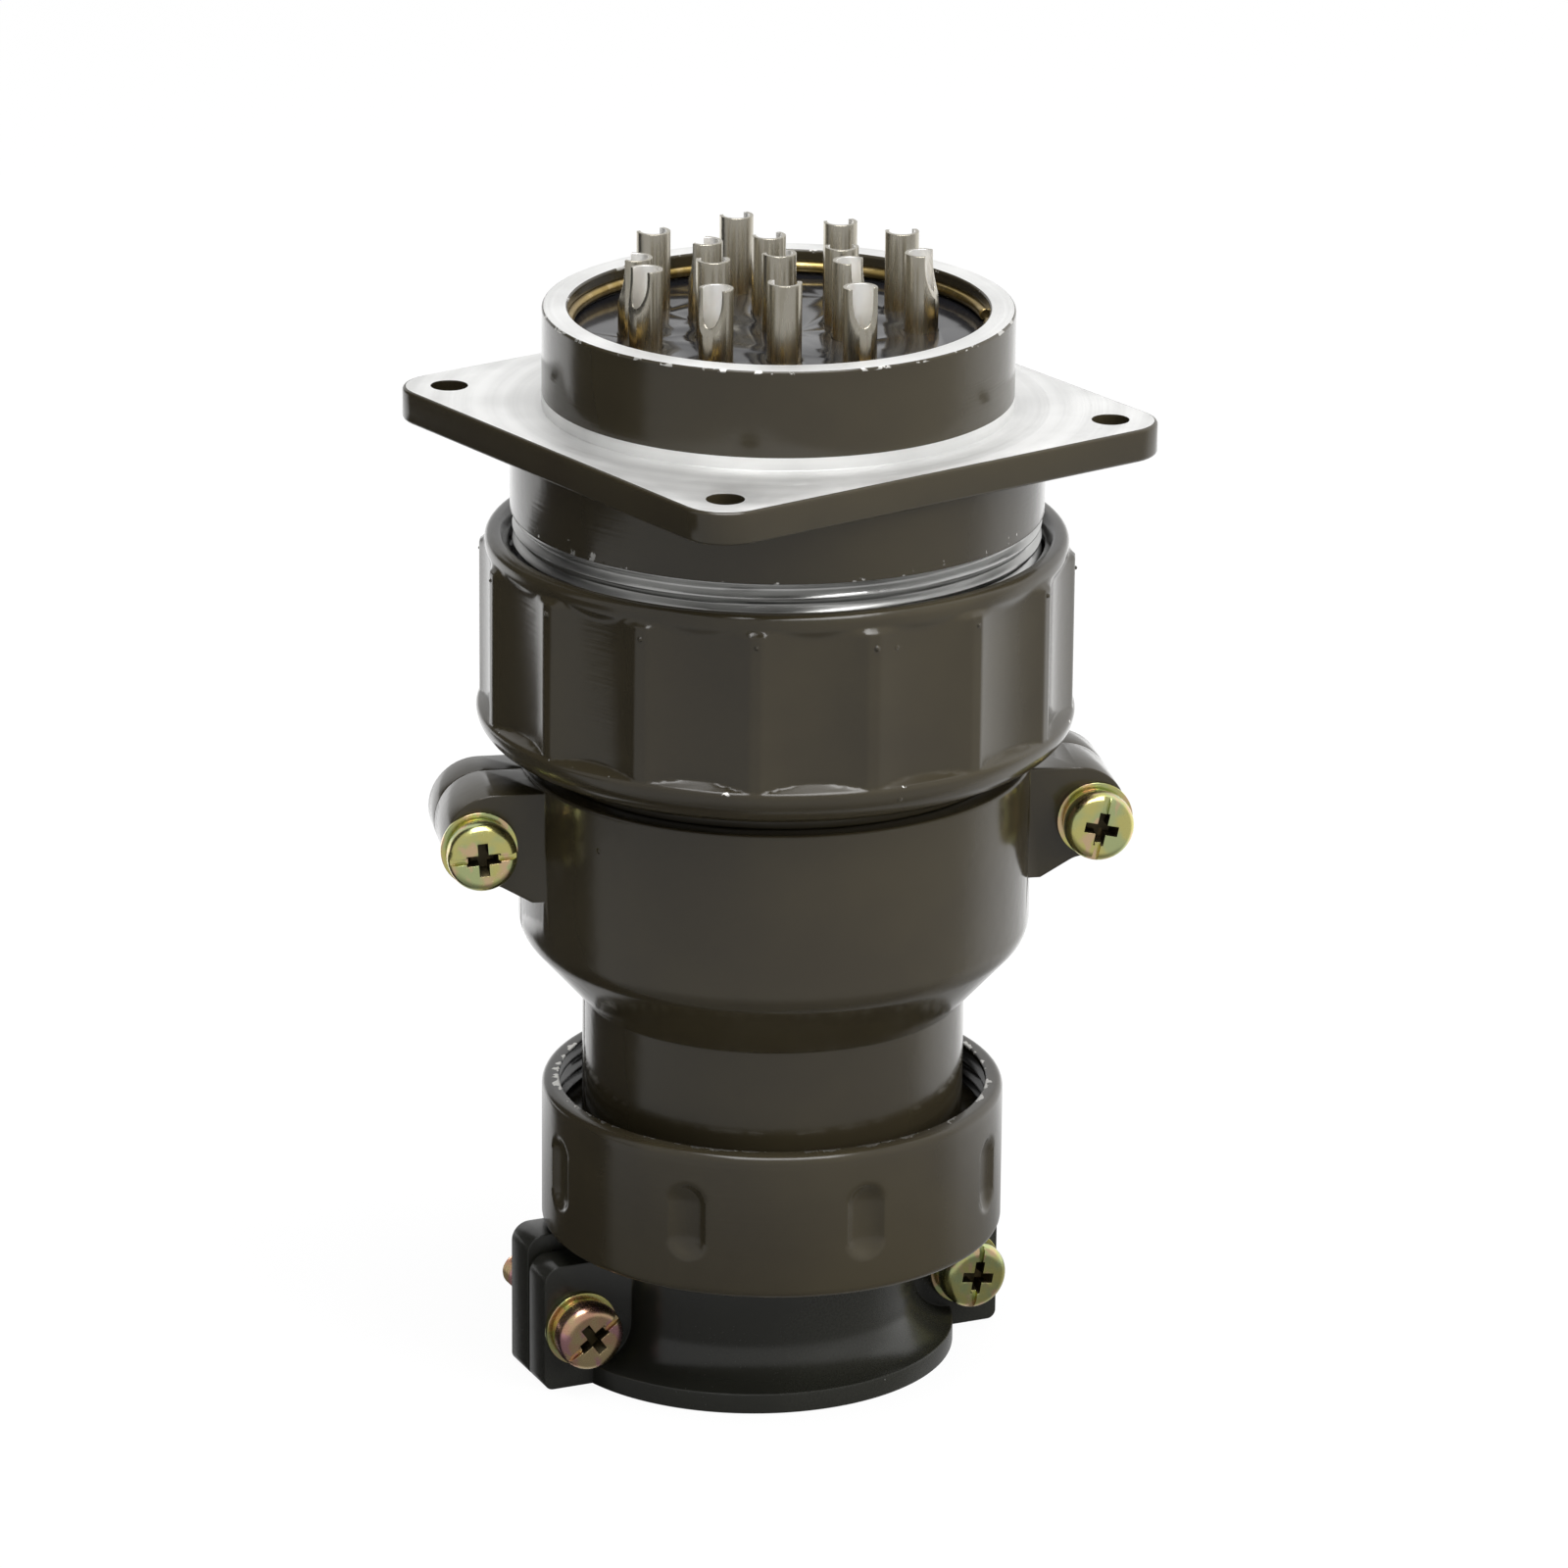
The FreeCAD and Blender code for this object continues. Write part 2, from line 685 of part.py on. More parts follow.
def coupling_nut():
    """The nut on the plug: a scalloped grip between a rounded bead and a plain band."""
    body = new_body("coupling_nut")
    lip_bore = cell.BarrelNeckRadius + cell.LooseGap
    bore = cell.ThreadRadius + cell.LooseGap
    core = bore + cell.MouthChamfer
    bead_top = coupling_bottom + cell.BeadHeight
    band_bottom = coupling_top - cell.BandHeight
    turned(body, [
        (lip_bore, coupling_bottom),
        (core, coupling_bottom),
        (core, bead_top - cell.BeadSlope / 2),
        (cell.GripRadius, bead_top - cell.BeadSlope / 2),
        (cell.GripRadius, band_bottom + cell.BandSlope / 2),
        (core, band_bottom + cell.BandSlope / 2),
        (core, coupling_top),
        (bore, coupling_top - cell.MouthChamfer),
        (bore, coupling_floor),
        (lip_bore, coupling_floor),
    ])
    doc.recompute()
    sketch = new_sketch(body, "XY_Plane", band_bottom + cell.BandSlope / 2)
    middle = cell.ScallopFloor + cell.ScallopRadius
    edge = cell.GripRadius + cell.BandChamfer
    half = math.sqrt(cell.ScallopRadius.number ** 2 - (middle.number - edge.number) ** 2)
    swing = math.asin(half / cell.ScallopRadius.number)
    circle_shape = Part.Circle(
        FreeCAD.Vector(middle.number, 0, 0), FreeCAD.Vector(0, 0, 1), cell.ScallopRadius.number
    )
    arc = sketch.addGeometry(Part.ArcOfCircle(circle_shape, math.pi - swing, math.pi + swing), False)
    line = sketch.addGeometry(
        Part.LineSegment(
            FreeCAD.Vector(edge.number, half, 0), FreeCAD.Vector(edge.number, -half, 0)
        ),
        False,
    )
    sketch.addConstraint(Sketcher.Constraint("Coincident", arc, 1, line, 1))
    sketch.addConstraint(Sketcher.Constraint("Coincident", arc, 2, line, 2))
    pin_point(sketch, arc, 3, middle, ORIGIN)
    dimension(sketch, "Radius", arc, cell.ScallopRadius)
    dimension(sketch, "DistanceX", line, 1, edge)
    dimension(sketch, "DistanceX", line, 2, edge)
    depth = band_bottom + cell.BandSlope / 2 - (bead_top - cell.BeadSlope / 2)
    scallop = pocketed(body, sketch, depth)
    doc.recompute()
    ring_of(body, scallop, sketch, "N_Axis", cell.ScallopCount)
    doc.recompute()
    turned(body, [
        (bore + cell.MouthChamfer / 2, coupling_bottom),
        (cell.BeadRadius, coupling_bottom, cell.BeadRound),
        (cell.BeadRadius, bead_top),
        (cell.ScallopFloor - cell.BandChamfer, bead_top + cell.BeadSlope),
        (bore + cell.MouthChamfer / 2, bead_top + cell.BeadSlope),
    ])
    doc.recompute()
    turned(body, [
        (core, band_bottom - cell.BandSlope / 2),
        (cell.ScallopFloor - cell.BandChamfer, band_bottom - cell.BandSlope / 2),
        (cell.BandRadius, band_bottom + cell.BandSlope / 2),
        (cell.BandRadius, coupling_top - cell.BandChamfer),
        (cell.BandRadius - cell.BandChamfer, coupling_top),
        (core, coupling_top),
    ])
    place(body, turn=cell.CouplingTurn)
    return body


# Plug barrel and its insert


def key_ring(body, radius, height, width_gap, bottom, length, cut):
    """One wide key and four narrow ones, as ribs in the receptacle or as slots in the plug."""
    features = []
    for angle, width in (
        (ORIGIN, cell.MasterKeyWidth),
        (cell.NearKeyAngle, cell.KeyWidth),
        (cell.FarKeyAngle, cell.KeyWidth),
        (-cell.FarKeyAngle, cell.KeyWidth),
        (-cell.NearKeyAngle, cell.KeyWidth),
    ):
        sketch = new_sketch(body, "XY_Plane", bottom)
        sketch.AttachmentOffset = FreeCAD.Placement(
            FreeCAD.Vector(0, 0, bottom.number),
            FreeCAD.Rotation(FreeCAD.Vector(0, 0, 1), angle.number),
        )
        sketch.setExpression("AttachmentOffset.Base.z", bottom.text)
        if "Sizes." in angle.text:
            sketch.setExpression("AttachmentOffset.Rotation.Angle", angle.text)
        half = width / 2 + width_gap
        outline(sketch, [
            (radius, -half), (radius + height, -half), (radius + height, half), (radius, half),
        ])
        if cut:
            features.append(pocketed(body, sketch, length, True))
        else:
            features.append(padded(body, sketch, length))
    return features


def plug_barrel():
    """The plug's turned barrel: nose, thrust flange, neck and the bead the housing grips."""
    body = new_body("plug_barrel")
    grip = cell.HousingRadius - cell.HousingWall - cell.InsulatorGap
    bead = grip + cell.GrooveDepth
    groove_top = housing_top - cell.GrooveDrop
    ring_top = plug_rear_face - cell.SeatGap
    ring_bottom = ring_top - cell.RingWire - cell.RingPlay * 2
    groove = cell.BarrelBore + cell.RingWire / 2
    turned(body, [
        (cell.BarrelBore, barrel_end),
        (bead, barrel_end),
        (bead, groove_top - cell.InsulatorGap),
        (grip, groove_top - cell.InsulatorGap),
        (grip, housing_top + cell.SeatGap),
        (cell.BarrelNeckRadius, housing_top + cell.SeatGap),
        (cell.BarrelNeckRadius, flange_seat),
        (cell.BarrelFlangeRadius, flange_seat),
        (cell.BarrelFlangeRadius, nose_base),
        (cell.NoseRadius, nose_base),
        (cell.NoseRadius, nose_top),
        (cell.BarrelBore - cell.LedgeReach, nose_top),
        (cell.BarrelBore - cell.LedgeReach, nose_top - cell.NoseLedge),
        (cell.BarrelBore, nose_top - cell.NoseLedge),
        (cell.BarrelBore, ring_top),
        (groove, ring_top),
        (groove, ring_bottom),
        (cell.BarrelBore, ring_bottom),
    ])
    doc.recompute()
    depth = cell.KeyHeight + cell.InsulatorGap
    key_ring(body, cell.CavityRadius - depth, depth + cell.InsulatorGap, cell.InsulatorGap,
             nose_base + cell.SeatGap, cell.NoseLength, True)
    place(body, turn=cell.ReceptacleTurn)
    return body


def contact_spot(share, angle):
    """Where a contact's axis stands."""
    x = cell.ContactReach * (share * math.cos(math.radians(angle)))
    y = cell.ContactReach * (share * math.sin(math.radians(angle)))
    return x, y


def contact_holes(body, height, depth, radius, reverse=False):
    """The contacts' holes, or their counterbores, cut from one level of an insulator."""
    sketch = new_sketch(body, "XY_Plane", height)
    for share, angle in CONTACTS:
        circle(sketch, *contact_spot(share, angle), radius)
    return pocketed(body, sketch, depth, reverse)


def insulator(label, corners, top, length, split, below):
    """A moulded disc with a hole for every contact and a recess for half of each shoulder."""
    body = new_body(label)
    turned(body, corners)
    doc.recompute()
    contact_holes(body, top, length, cell.CupRadius + cell.FitGap)
    half = cell.ShoulderThickness / 2 + cell.FitGap
    contact_holes(body, split, half, cell.ShoulderRadius + cell.FitGap, not below)
    return body


def insulators():
    plug = cell.BarrelBore - cell.InsulatorGap
    boss = cell.BarrelBore - cell.LedgeReach - cell.InsulatorGap
    ledge = nose_top - cell.NoseLedge - cell.SeatGap
    back = cell.RearBore - cell.InsulatorGap
    front_boss = cell.RearBore - cell.StopReach - cell.InsulatorGap
    return [
        insulator("plug_insulator_front", [
            (ORIGIN, plug_split), (plug, plug_split), (plug, ledge),
            (boss, ledge), (boss, plug_face), (ORIGIN, plug_face),
        ], plug_face, cell.PlugHalf, plug_split, False),
        insulator("plug_insulator_rear", [
            (ORIGIN, plug_rear_face), (plug, plug_rear_face), (plug, plug_split), (ORIGIN, plug_split),
        ], plug_split, cell.PlugRearHalf, plug_split, True),
        insulator("receptacle_insulator_front", [
            (ORIGIN, receptacle_face), (front_boss, receptacle_face), (front_boss, stop_top + cell.SeatGap),
            (back, stop_top + cell.SeatGap), (back, receptacle_split), (ORIGIN, receptacle_split),
        ], receptacle_split, receptacle_split - receptacle_face, receptacle_split, True),
        insulator("receptacle_insulator_rear", [
            (ORIGIN, receptacle_split), (back, receptacle_split), (back, rear_face), (ORIGIN, rear_face),
        ], rear_face, cell.ReceptacleRearHalf, receptacle_split, False),
    ]


def retaining_ring(label, centre, height):
    """A round-wire ring, open by a few degrees, that holds the insulators in."""
    body = new_body(label)
    sketch = new_sketch(body, "XZ_Plane")
    circle(sketch, centre, height, cell.RingWire / 2)
    feature = body.newObject("PartDesign::Revolution", f"{label}_turning")
    feature.Profile = (sketch, [""])
    feature.ReferenceAxis = (sketch, ["V_Axis"])
    feature.Angle = 360 - cell.RingGap.number
    feature.setExpression("Angle", "360 - Sizes.RingGap")
    return body


# Contacts


def cup(body, rim, upward):
    """The solder cup's bore and the scoop that opens its side."""
    sketch = new_sketch(body, "XY_Plane", rim)
    circle(sketch, ORIGIN, ORIGIN, cell.CupBore)
    pocketed(body, sketch, cell.CupDepth, not upward)
    doc.recompute()
    scoop = new_sketch(body, "YZ_Plane")
    low = rim - cell.ScoopDepth if upward else rim + cell.ScoopDepth
    past = rim + cell.CupBore if upward else rim - cell.CupBore
    outline(scoop, [
        (-cell.CupRadius, past),
        (-cell.CupRadius, low, cell.CupBore),
        (cell.CupRadius, low, cell.CupBore),
        (cell.CupRadius, past),
    ])
    scoop.AttachmentOffset.Base.z = cell.ScoopReach.number
    scoop.setExpression("AttachmentOffset.Base.z", cell.ScoopReach.text)
    pocketed(body, scoop, cell.CupRadius * 2, True)


def contact(label, corners, rim, share, angle, twist, upward):
    """A turned contact with its solder cup's opening turned by twist from facing straight outward."""
    body = new_body(label)
    turned(body, corners)
    doc.recompute()
    cup(body, rim, upward)
    x, y = contact_spot(share, angle)
    place(body, x, y, ORIGIN, Size.of(angle + twist))
    return body


def pin_corners():
    middle = receptacle_split
    half = cell.ShoulderThickness / 2
    return [
        (ORIGIN, receptacle_face - cell.PinLength),
        (cell.PinRadius, receptacle_face - cell.PinLength, cell.PinTip),
        (cell.PinRadius, receptacle_face),
        (cell.CupRadius, receptacle_face),
        (cell.CupRadius, middle - half),
        (cell.ShoulderRadius, middle - half),
        (cell.ShoulderRadius, middle + half),
        (cell.CupRadius, middle + half),
        (cell.CupRadius, rear_face + cell.CupStand),
        (ORIGIN, rear_face + cell.CupStand),
    ]


def socket_corners():
    half = cell.ShoulderThickness / 2
    top = plug_face - cell.SocketSink
    bore = cell.PinRadius + cell.FitGap
    return [
        (ORIGIN, plug_rear_face - cell.CupStand),
        (cell.CupRadius, plug_rear_face - cell.CupStand),
        (cell.CupRadius, plug_split - half),
        (cell.ShoulderRadius, plug_split - half),
        (cell.ShoulderRadius, plug_split + half),
        (cell.CupRadius, plug_split + half),
        (cell.CupRadius, top),
        (bore, top),
        (bore, top - cell.SocketDepth),
        (ORIGIN, top - cell.SocketDepth),
    ]


def contacts():
    made = []
    for number, ((share, angle), twist) in enumerate(zip(CONTACTS, CUP_TWIST), start=1):
        for name, corners, rim, upward in (
            ("pin_contact", pin_corners(), rear_face + cell.CupStand, True),
            ("socket_contact", socket_corners(), plug_rear_face - cell.CupStand, False),
        ):
            made.append(contact(f"{name}_{number:02d}", corners, rim, share, angle, twist, upward))
    return made


# Receptacle


def receptacle_shell():
    """The turned shell: threaded front barrel, square flange, rear barrel and keys."""
    body = new_body("receptacle_shell")
    groove = cell.RearBore + cell.RingWire / 2
    ring_bottom = rear_face + cell.SeatGap
    ring_top = ring_bottom + cell.RingWire + cell.RingPlay * 2
    turned(body, [
        (cell.CavityRadius, shell_bottom),
        (cell.ThreadRadius, shell_bottom, cell.RimBreak),
        (cell.ThreadRadius, shell_bottom + cell.ThreadLength),
        (cell.FrontRadius, shell_bottom + cell.ThreadLength),
        (cell.FrontRadius, flange_top),
        (cell.RearRadius, flange_top),
        (cell.RearRadius, rim_top, cell.RimBreak),
        (cell.RearBore, rim_top, cell.RimBreak),
        (cell.RearBore, ring_top),
        (groove, ring_top),
        (groove, ring_bottom),
        (cell.RearBore, ring_bottom),
        (cell.RearBore, stop_top),
        (cell.RearBore - cell.StopReach, stop_top),
        (cell.RearBore - cell.StopReach, cavity_top),
        (cell.CavityRadius, cavity_top),
    ])
    doc.recompute()
    sketch = new_sketch(body, "XY_Plane", flange_bottom)
    side = cell.FlangeSide / 2
    outline(sketch, [
        (-side, -side, cell.FlangeCorner),
        (side, -side, cell.FlangeCorner),
        (side, side, cell.FlangeCorner),
        (-side, side, cell.FlangeCorner),
    ])
    circle(sketch, ORIGIN, ORIGIN, (cell.RearBore + cell.RearRadius) / 2)
    padded(body, sketch, cell.FlangeThickness)
    doc.recompute()
    bolts = new_sketch(body, "XY_Plane", flange_top)
    spot = side - cell.BoltMargin
    circle(bolts, spot, spot, cell.BoltRadius)
    hole = pocketed(body, bolts, cell.FlangeThickness)
    doc.recompute()
    ring_of(body, hole, bolts, "N_Axis", cell.BoltCount)
    doc.recompute()
    key_ring(body, cell.CavityRadius - cell.KeyHeight, cell.KeyHeight + cell.LooseGap, ORIGIN,
             shell_bottom + cell.StopLedge, cell.CavityDepth - cell.StopLedge, False)
    place(body, turn=cell.ReceptacleTurn)
    return body


def build():
    """Every sub-part, from the cable clamp up to the receptacle."""
    parts = [clamp_body(), clamp_saddle(), union_nut()]
    parts += [housing_half("housing_half_front", True), housing_half("housing_half_rear", False)]
    clamp_face = cell.SplitGap - cell.ClampSplit + cell.SaddleEarThickness
    washers = cell.FlatWasher + cell.SpringWasher
    through = cell.FrontEarThickness + cell.BackEarThickness + washers
    for side in (-1, 1):
        parts += fastener("clamp", side, cell.ClampEarReach - cell.ClampEarMargin, clamp_face,
                          cell.ClampScrewHeight, cell.ClampScrewLength, cell.ClampTurn)
        parts += fastener("housing", side, ear_reach - cell.EarMargin, cell.FrontEarThickness,
                          housing_top - cell.HousingScrewDrop, through, ORIGIN)
    parts += [coupling_nut(), plug_barrel()]
    parts += insulators()
    ring_seat = cell.SeatGap + cell.RingPlay + cell.RingWire / 2
    parts.append(retaining_ring(
        "plug_retaining_ring", cell.BarrelBore - cell.SeatGap, plug_rear_face - ring_seat))
    parts.append(retaining_ring(
        "receptacle_retaining_ring", cell.RearBore - cell.SeatGap, rear_face + ring_seat))
    parts += contacts()
    parts.append(receptacle_shell())
    return parts


def check(parts):
    """Stops the build if an object failed or a sub-part has no sound shape."""
    for item in doc.Objects:
        if "Invalid" in item.State or "Error" in item.State:
            raise RuntimeError(f"{item.Label} failed: {item.State}")
    for part in parts:
        if part.Shape.isNull() or not part.Shape.isValid():
            raise RuntimeError(f"{part.Label} has no valid shape")
        if len(part.Shape.Solids) != 1:
            raise RuntimeError(f"{part.Label} has {len(part.Shape.Solids)} solids")


parts = build()
doc.recompute()
check(parts)
os.makedirs("parts", exist_ok=True)
for part in parts:
    part.Shape.exportStep(f"parts/{part.Label}.step")
    box = part.Shape.BoundBox
    print(f"{part.Label}: {part.Shape.Volume:.1f} mm3, z {box.ZMin:.2f} to {box.ZMax:.2f}")
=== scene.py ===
"""Dresses a mated circular connector: materials, fine shapes, studio light and camera."""
import logging
import math
import random
from dataclasses import dataclass, field
from enum import Enum
from functools import lru_cache
from typing import Callable, Optional, Sequence, Union

import bmesh
import bpy
from mathutils import Matrix, Vector


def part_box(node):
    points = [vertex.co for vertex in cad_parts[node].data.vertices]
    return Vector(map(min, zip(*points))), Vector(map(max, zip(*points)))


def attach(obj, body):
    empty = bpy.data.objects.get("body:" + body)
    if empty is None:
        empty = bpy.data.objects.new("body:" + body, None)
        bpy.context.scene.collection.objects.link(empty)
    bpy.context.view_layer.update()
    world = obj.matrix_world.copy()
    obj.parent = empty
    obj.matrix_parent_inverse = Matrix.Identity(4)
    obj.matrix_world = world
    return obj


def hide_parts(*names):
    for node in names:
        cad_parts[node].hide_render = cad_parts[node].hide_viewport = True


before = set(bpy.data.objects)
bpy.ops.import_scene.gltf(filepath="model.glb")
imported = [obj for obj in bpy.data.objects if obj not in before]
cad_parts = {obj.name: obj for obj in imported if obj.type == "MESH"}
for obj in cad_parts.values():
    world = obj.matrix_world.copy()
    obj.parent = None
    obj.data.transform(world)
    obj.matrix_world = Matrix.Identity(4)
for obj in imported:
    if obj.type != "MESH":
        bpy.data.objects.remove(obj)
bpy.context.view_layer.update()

LOG = logging.getLogger("connector")

MM = 0.001
FULL_TURN = 2.0 * math.pi
FLAT_ANGLE = math.radians(0.4)
SHARP_ANGLE = math.radians(32.0)
ROUND_ANGLE = math.radians(40.0)
THREAD_PITCH = 1.25 * MM
TOUCH = 0.01 * MM
WHITE = (1.0, 1.0, 1.0)
BLACK = (0.0, 0.0, 0.0)

Number = Union[float, "Signal"]
Colour = tuple[float, float, float]
Point = tuple[float, float, float]
Span = tuple[float, float]


def operation(kind: str, swapped: bool = False) -> Callable[["Signal", Number], "Signal"]:
    """An arithmetic method for signals.

    Args:
        kind: The math node's operation.
        swapped: Whether the other value stands on the left.

    Returns:
        The method, or its reflected form.
    """

    def method(self: "Signal", other: Number) -> "Signal":
        """Calculates with another signal or a number."""
        pair = (other, self) if swapped else (self, other)
        return self.graph.calculate(kind, *pair)

    return method


class Signal:
    """A value on a shader socket that takes part in ordinary arithmetic."""

    def __init__(self, graph: "Graph", socket: bpy.types.NodeSocket) -> None:
        """Wraps an output socket of a node tree."""
        self.graph = graph
        self.socket = socket

    __add__, __radd__ = operation("ADD"), operation("ADD", True)
    __sub__, __rsub__ = operation("SUBTRACT"), operation("SUBTRACT", True)
    __mul__, __rmul__ = operation("MULTIPLY"), operation("MULTIPLY", True)
    __truediv__ = operation("DIVIDE")
    __pow__ = operation("POWER")
    __gt__ = operation("GREATER_THAN")
    __lt__ = operation("LESS_THAN")

    def step(self, low: float, high: float) -> "Signal":
        """A signal that rises smoothly from 0 at low to 1 at high."""
        inputs = {"Value": self, "From Min": low, "From Max": high}
        return self.graph.signal("ShaderNodeMapRange", {"interpolation_type": "SMOOTHSTEP"}, inputs)


class Graph:
    """The node tree of one material or of the world, built through one method."""

    def __init__(self, owner: Union[bpy.types.Material, bpy.types.World]) -> None:
        """Starts an empty tree.

        Args:
            owner: The material or world that the tree belongs to.
        """
        owner.use_nodes = True
        self.owner = owner
        self.tree = owner.node_tree
        self.tree.nodes.clear()
        self._place: Optional[bpy.types.NodeSocket] = None

    @classmethod
    def of_material(cls, name: str) -> "Graph":
        """The empty tree of a new material."""
        return cls(bpy.data.materials.new(name))

    def node(
        self, kind: str, settings: Optional[dict] = None, inputs: Optional[dict] = None
    ) -> bpy.types.Node:
        """Adds a node.

        Args:
            kind: The node's type.
            settings: Its own properties, set first.
            inputs: Values, signals or sockets for its input sockets, by name or number.

        Returns:
            The new node.
        """
        made = self.tree.nodes.new(kind)
        for key, value in (settings or {}).items():
            setattr(made, key, value)
        for key, value in (inputs or {}).items():
            socket = made.inputs[key]
            if isinstance(value, Signal):
                self.tree.links.new(value.socket, socket)
            elif isinstance(value, bpy.types.NodeSocket):
                self.tree.links.new(value, socket)
            else:
                socket.default_value = value
        return made

    def signal(
        self, kind: str, settings: dict, inputs: dict, output: Union[int, str] = 0
    ) -> Signal:
        """A new node's output as a signal."""
        return Signal(self, self.node(kind, settings, inputs).outputs[output])

    def calculate(self, kind: str, first: Number, second: Number) -> Signal:
        """One arithmetic step on two numbers or signals."""
        return self.signal("ShaderNodeMath", {"operation": kind}, {0: first, 1: second})

    def place(self) -> bpy.types.NodeSocket:
        """The point on the piece.

        Returns:
            The socket of its object coordinates, made once.
        """
        if self._place is None:
            self._place = self.node("ShaderNodeTexCoord").outputs["Object"]
        return self._place

    def axes(self, vector: bpy.types.NodeSocket) -> tuple[Signal, Signal, Signal]:
        """A vector's three components."""
        split = self.node("ShaderNodeSeparateXYZ", None, {"Vector": vector})
        return tuple(Signal(self, split.outputs[axis]) for axis in "XYZ")

    def height(self) -> Signal:
        """Height over the floor at rest."""
        return self.axes(self.place())[2]

    def radius(self) -> Signal:
        """Distance from the connector's axis."""
        across, along, _ = self.axes(self.place())
        return (across * across + along * along) ** 0.5

    def noise(self, scale: float, detail: float = 2.0, stretch: Point = (1.0, 1.0, 1.0)) -> Signal:
        """Cloudy noise.

        Args:
            scale: How many blotches fit in a metre.
            detail: How many octaves it has.
            stretch: How much finer it is along each axis.

        Returns:
            A signal of about 0.3 to 0.7.
        """
        mapped = self.node("ShaderNodeMapping", None, {"Vector": self.place(), "Scale": stretch})
        inputs = {"Vector": mapped.outputs[0], "Scale": scale, "Detail": detail}
        return self.signal("ShaderNodeTexNoise", {"noise_dimensions": "3D"}, inputs)

    def lines(self, along: Signal, scale: float, detail: float = 2.0) -> Signal:
        """Noise that changes along one signal only, as a turning tool leaves it."""
        inputs = {"W": along, "Scale": scale, "Detail": detail}
        return self.signal("ShaderNodeTexNoise", {"noise_dimensions": "1D"}, inputs)

    def specks(self, scale: float, size: float, share: float) -> Signal:
        """Scattered round specks.

        Args:
            scale: How many cells fit in a metre.
            size: The speck's radius as a share of a cell.
            share: The share of cells that hold a speck.

        Returns:
            A signal of 1 in the middle of a speck and 0 outside.
        """
        cells = self.node("ShaderNodeTexVoronoi", None, {"Vector": self.place(), "Scale": scale})
        picked = self.node("ShaderNodeSeparateColor", None, {0: cells.outputs["Color"]})
        chosen = Signal(self, picked.outputs[0]) < share
        return (1.0 - Signal(self, cells.outputs["Distance"]).step(size * 0.4, size)) * chosen

    def compass(self, front: float) -> Signal:
        """The direction that the ray travels in, in degrees to the right of a front direction.

        Args:
            front: The front direction's angle from -Y.

        Returns:
            A signal from -180 to 180.
        """
        across, along, _ = self.axes(self.node("ShaderNodeNewGeometry").outputs["Incoming"])
        ahead = along * math.cos(front) - across * math.sin(front)
        aside = across * -math.cos(front) - along * math.sin(front)
        return self.calculate("ARCTAN2", aside, ahead) * math.degrees(1.0)

    def attribute(self, name: str) -> Signal:
        """A value stored on the mesh's vertices."""
        settings = {"attribute_type": "GEOMETRY", "attribute_name": name}
        return self.signal("ShaderNodeAttribute", settings, {}, "Fac")

    def blend(
        self, share: Number, first: Union[Colour, Signal], second: Union[Colour, Signal]
    ) -> Signal:
        """Mixes two colours.

        Args:
            share: 0 gives the first colour and 1 the second.
            first: The first colour.
            second: The second colour.

        Returns:
            The mixed colour.
        """
        first, second = (side if isinstance(side, Signal) else rgba(side) for side in (first, second))
        inputs = {"Factor": share, 6: first, 7: second}
        return self.signal("ShaderNodeMix", {"data_type": "RGBA"}, inputs, 2)

    def soft_edges(self, width: float) -> bpy.types.NodeSocket:
        """A normal that rounds creases over a width in metres."""
        return self.node("ShaderNodeBevel", {"samples": 4}, {"Radius": width}).outputs[0]

    def relief(
        self, height: Signal, depth: float, under: bpy.types.NodeSocket
    ) -> bpy.types.NodeSocket:
        """A normal with relief of a depth in metres over the normal under it."""
        inputs = {"Height": height, "Distance": depth, "Strength": 1.0, "Normal": under}
        return self.node("ShaderNodeBump", None, inputs).outputs[0]

    def surface(
        self, colour: Signal, roughness: Signal, normal: bpy.types.NodeSocket, others: dict
    ) -> bpy.types.Material:
        """Ends the tree in a Principled shader.

        Args:
            colour: Its base colour.
            roughness: Its roughness.
            normal: Its normal.
            others: Its other inputs, by name.

        Returns:
            The finished material.
        """
        inputs = {"Base Color": colour, "Roughness": roughness, "Normal": normal, **others}
        shader = self.node("ShaderNodeBsdfPrincipled", None, inputs)
        self.node("ShaderNodeOutputMaterial", None, {"Surface": shader.outputs[0]})
        return self.owner


def rgba(colour: Colour) -> tuple[float, float, float, float]:
    """A colour with full alpha."""
    return (*colour, 1.0)


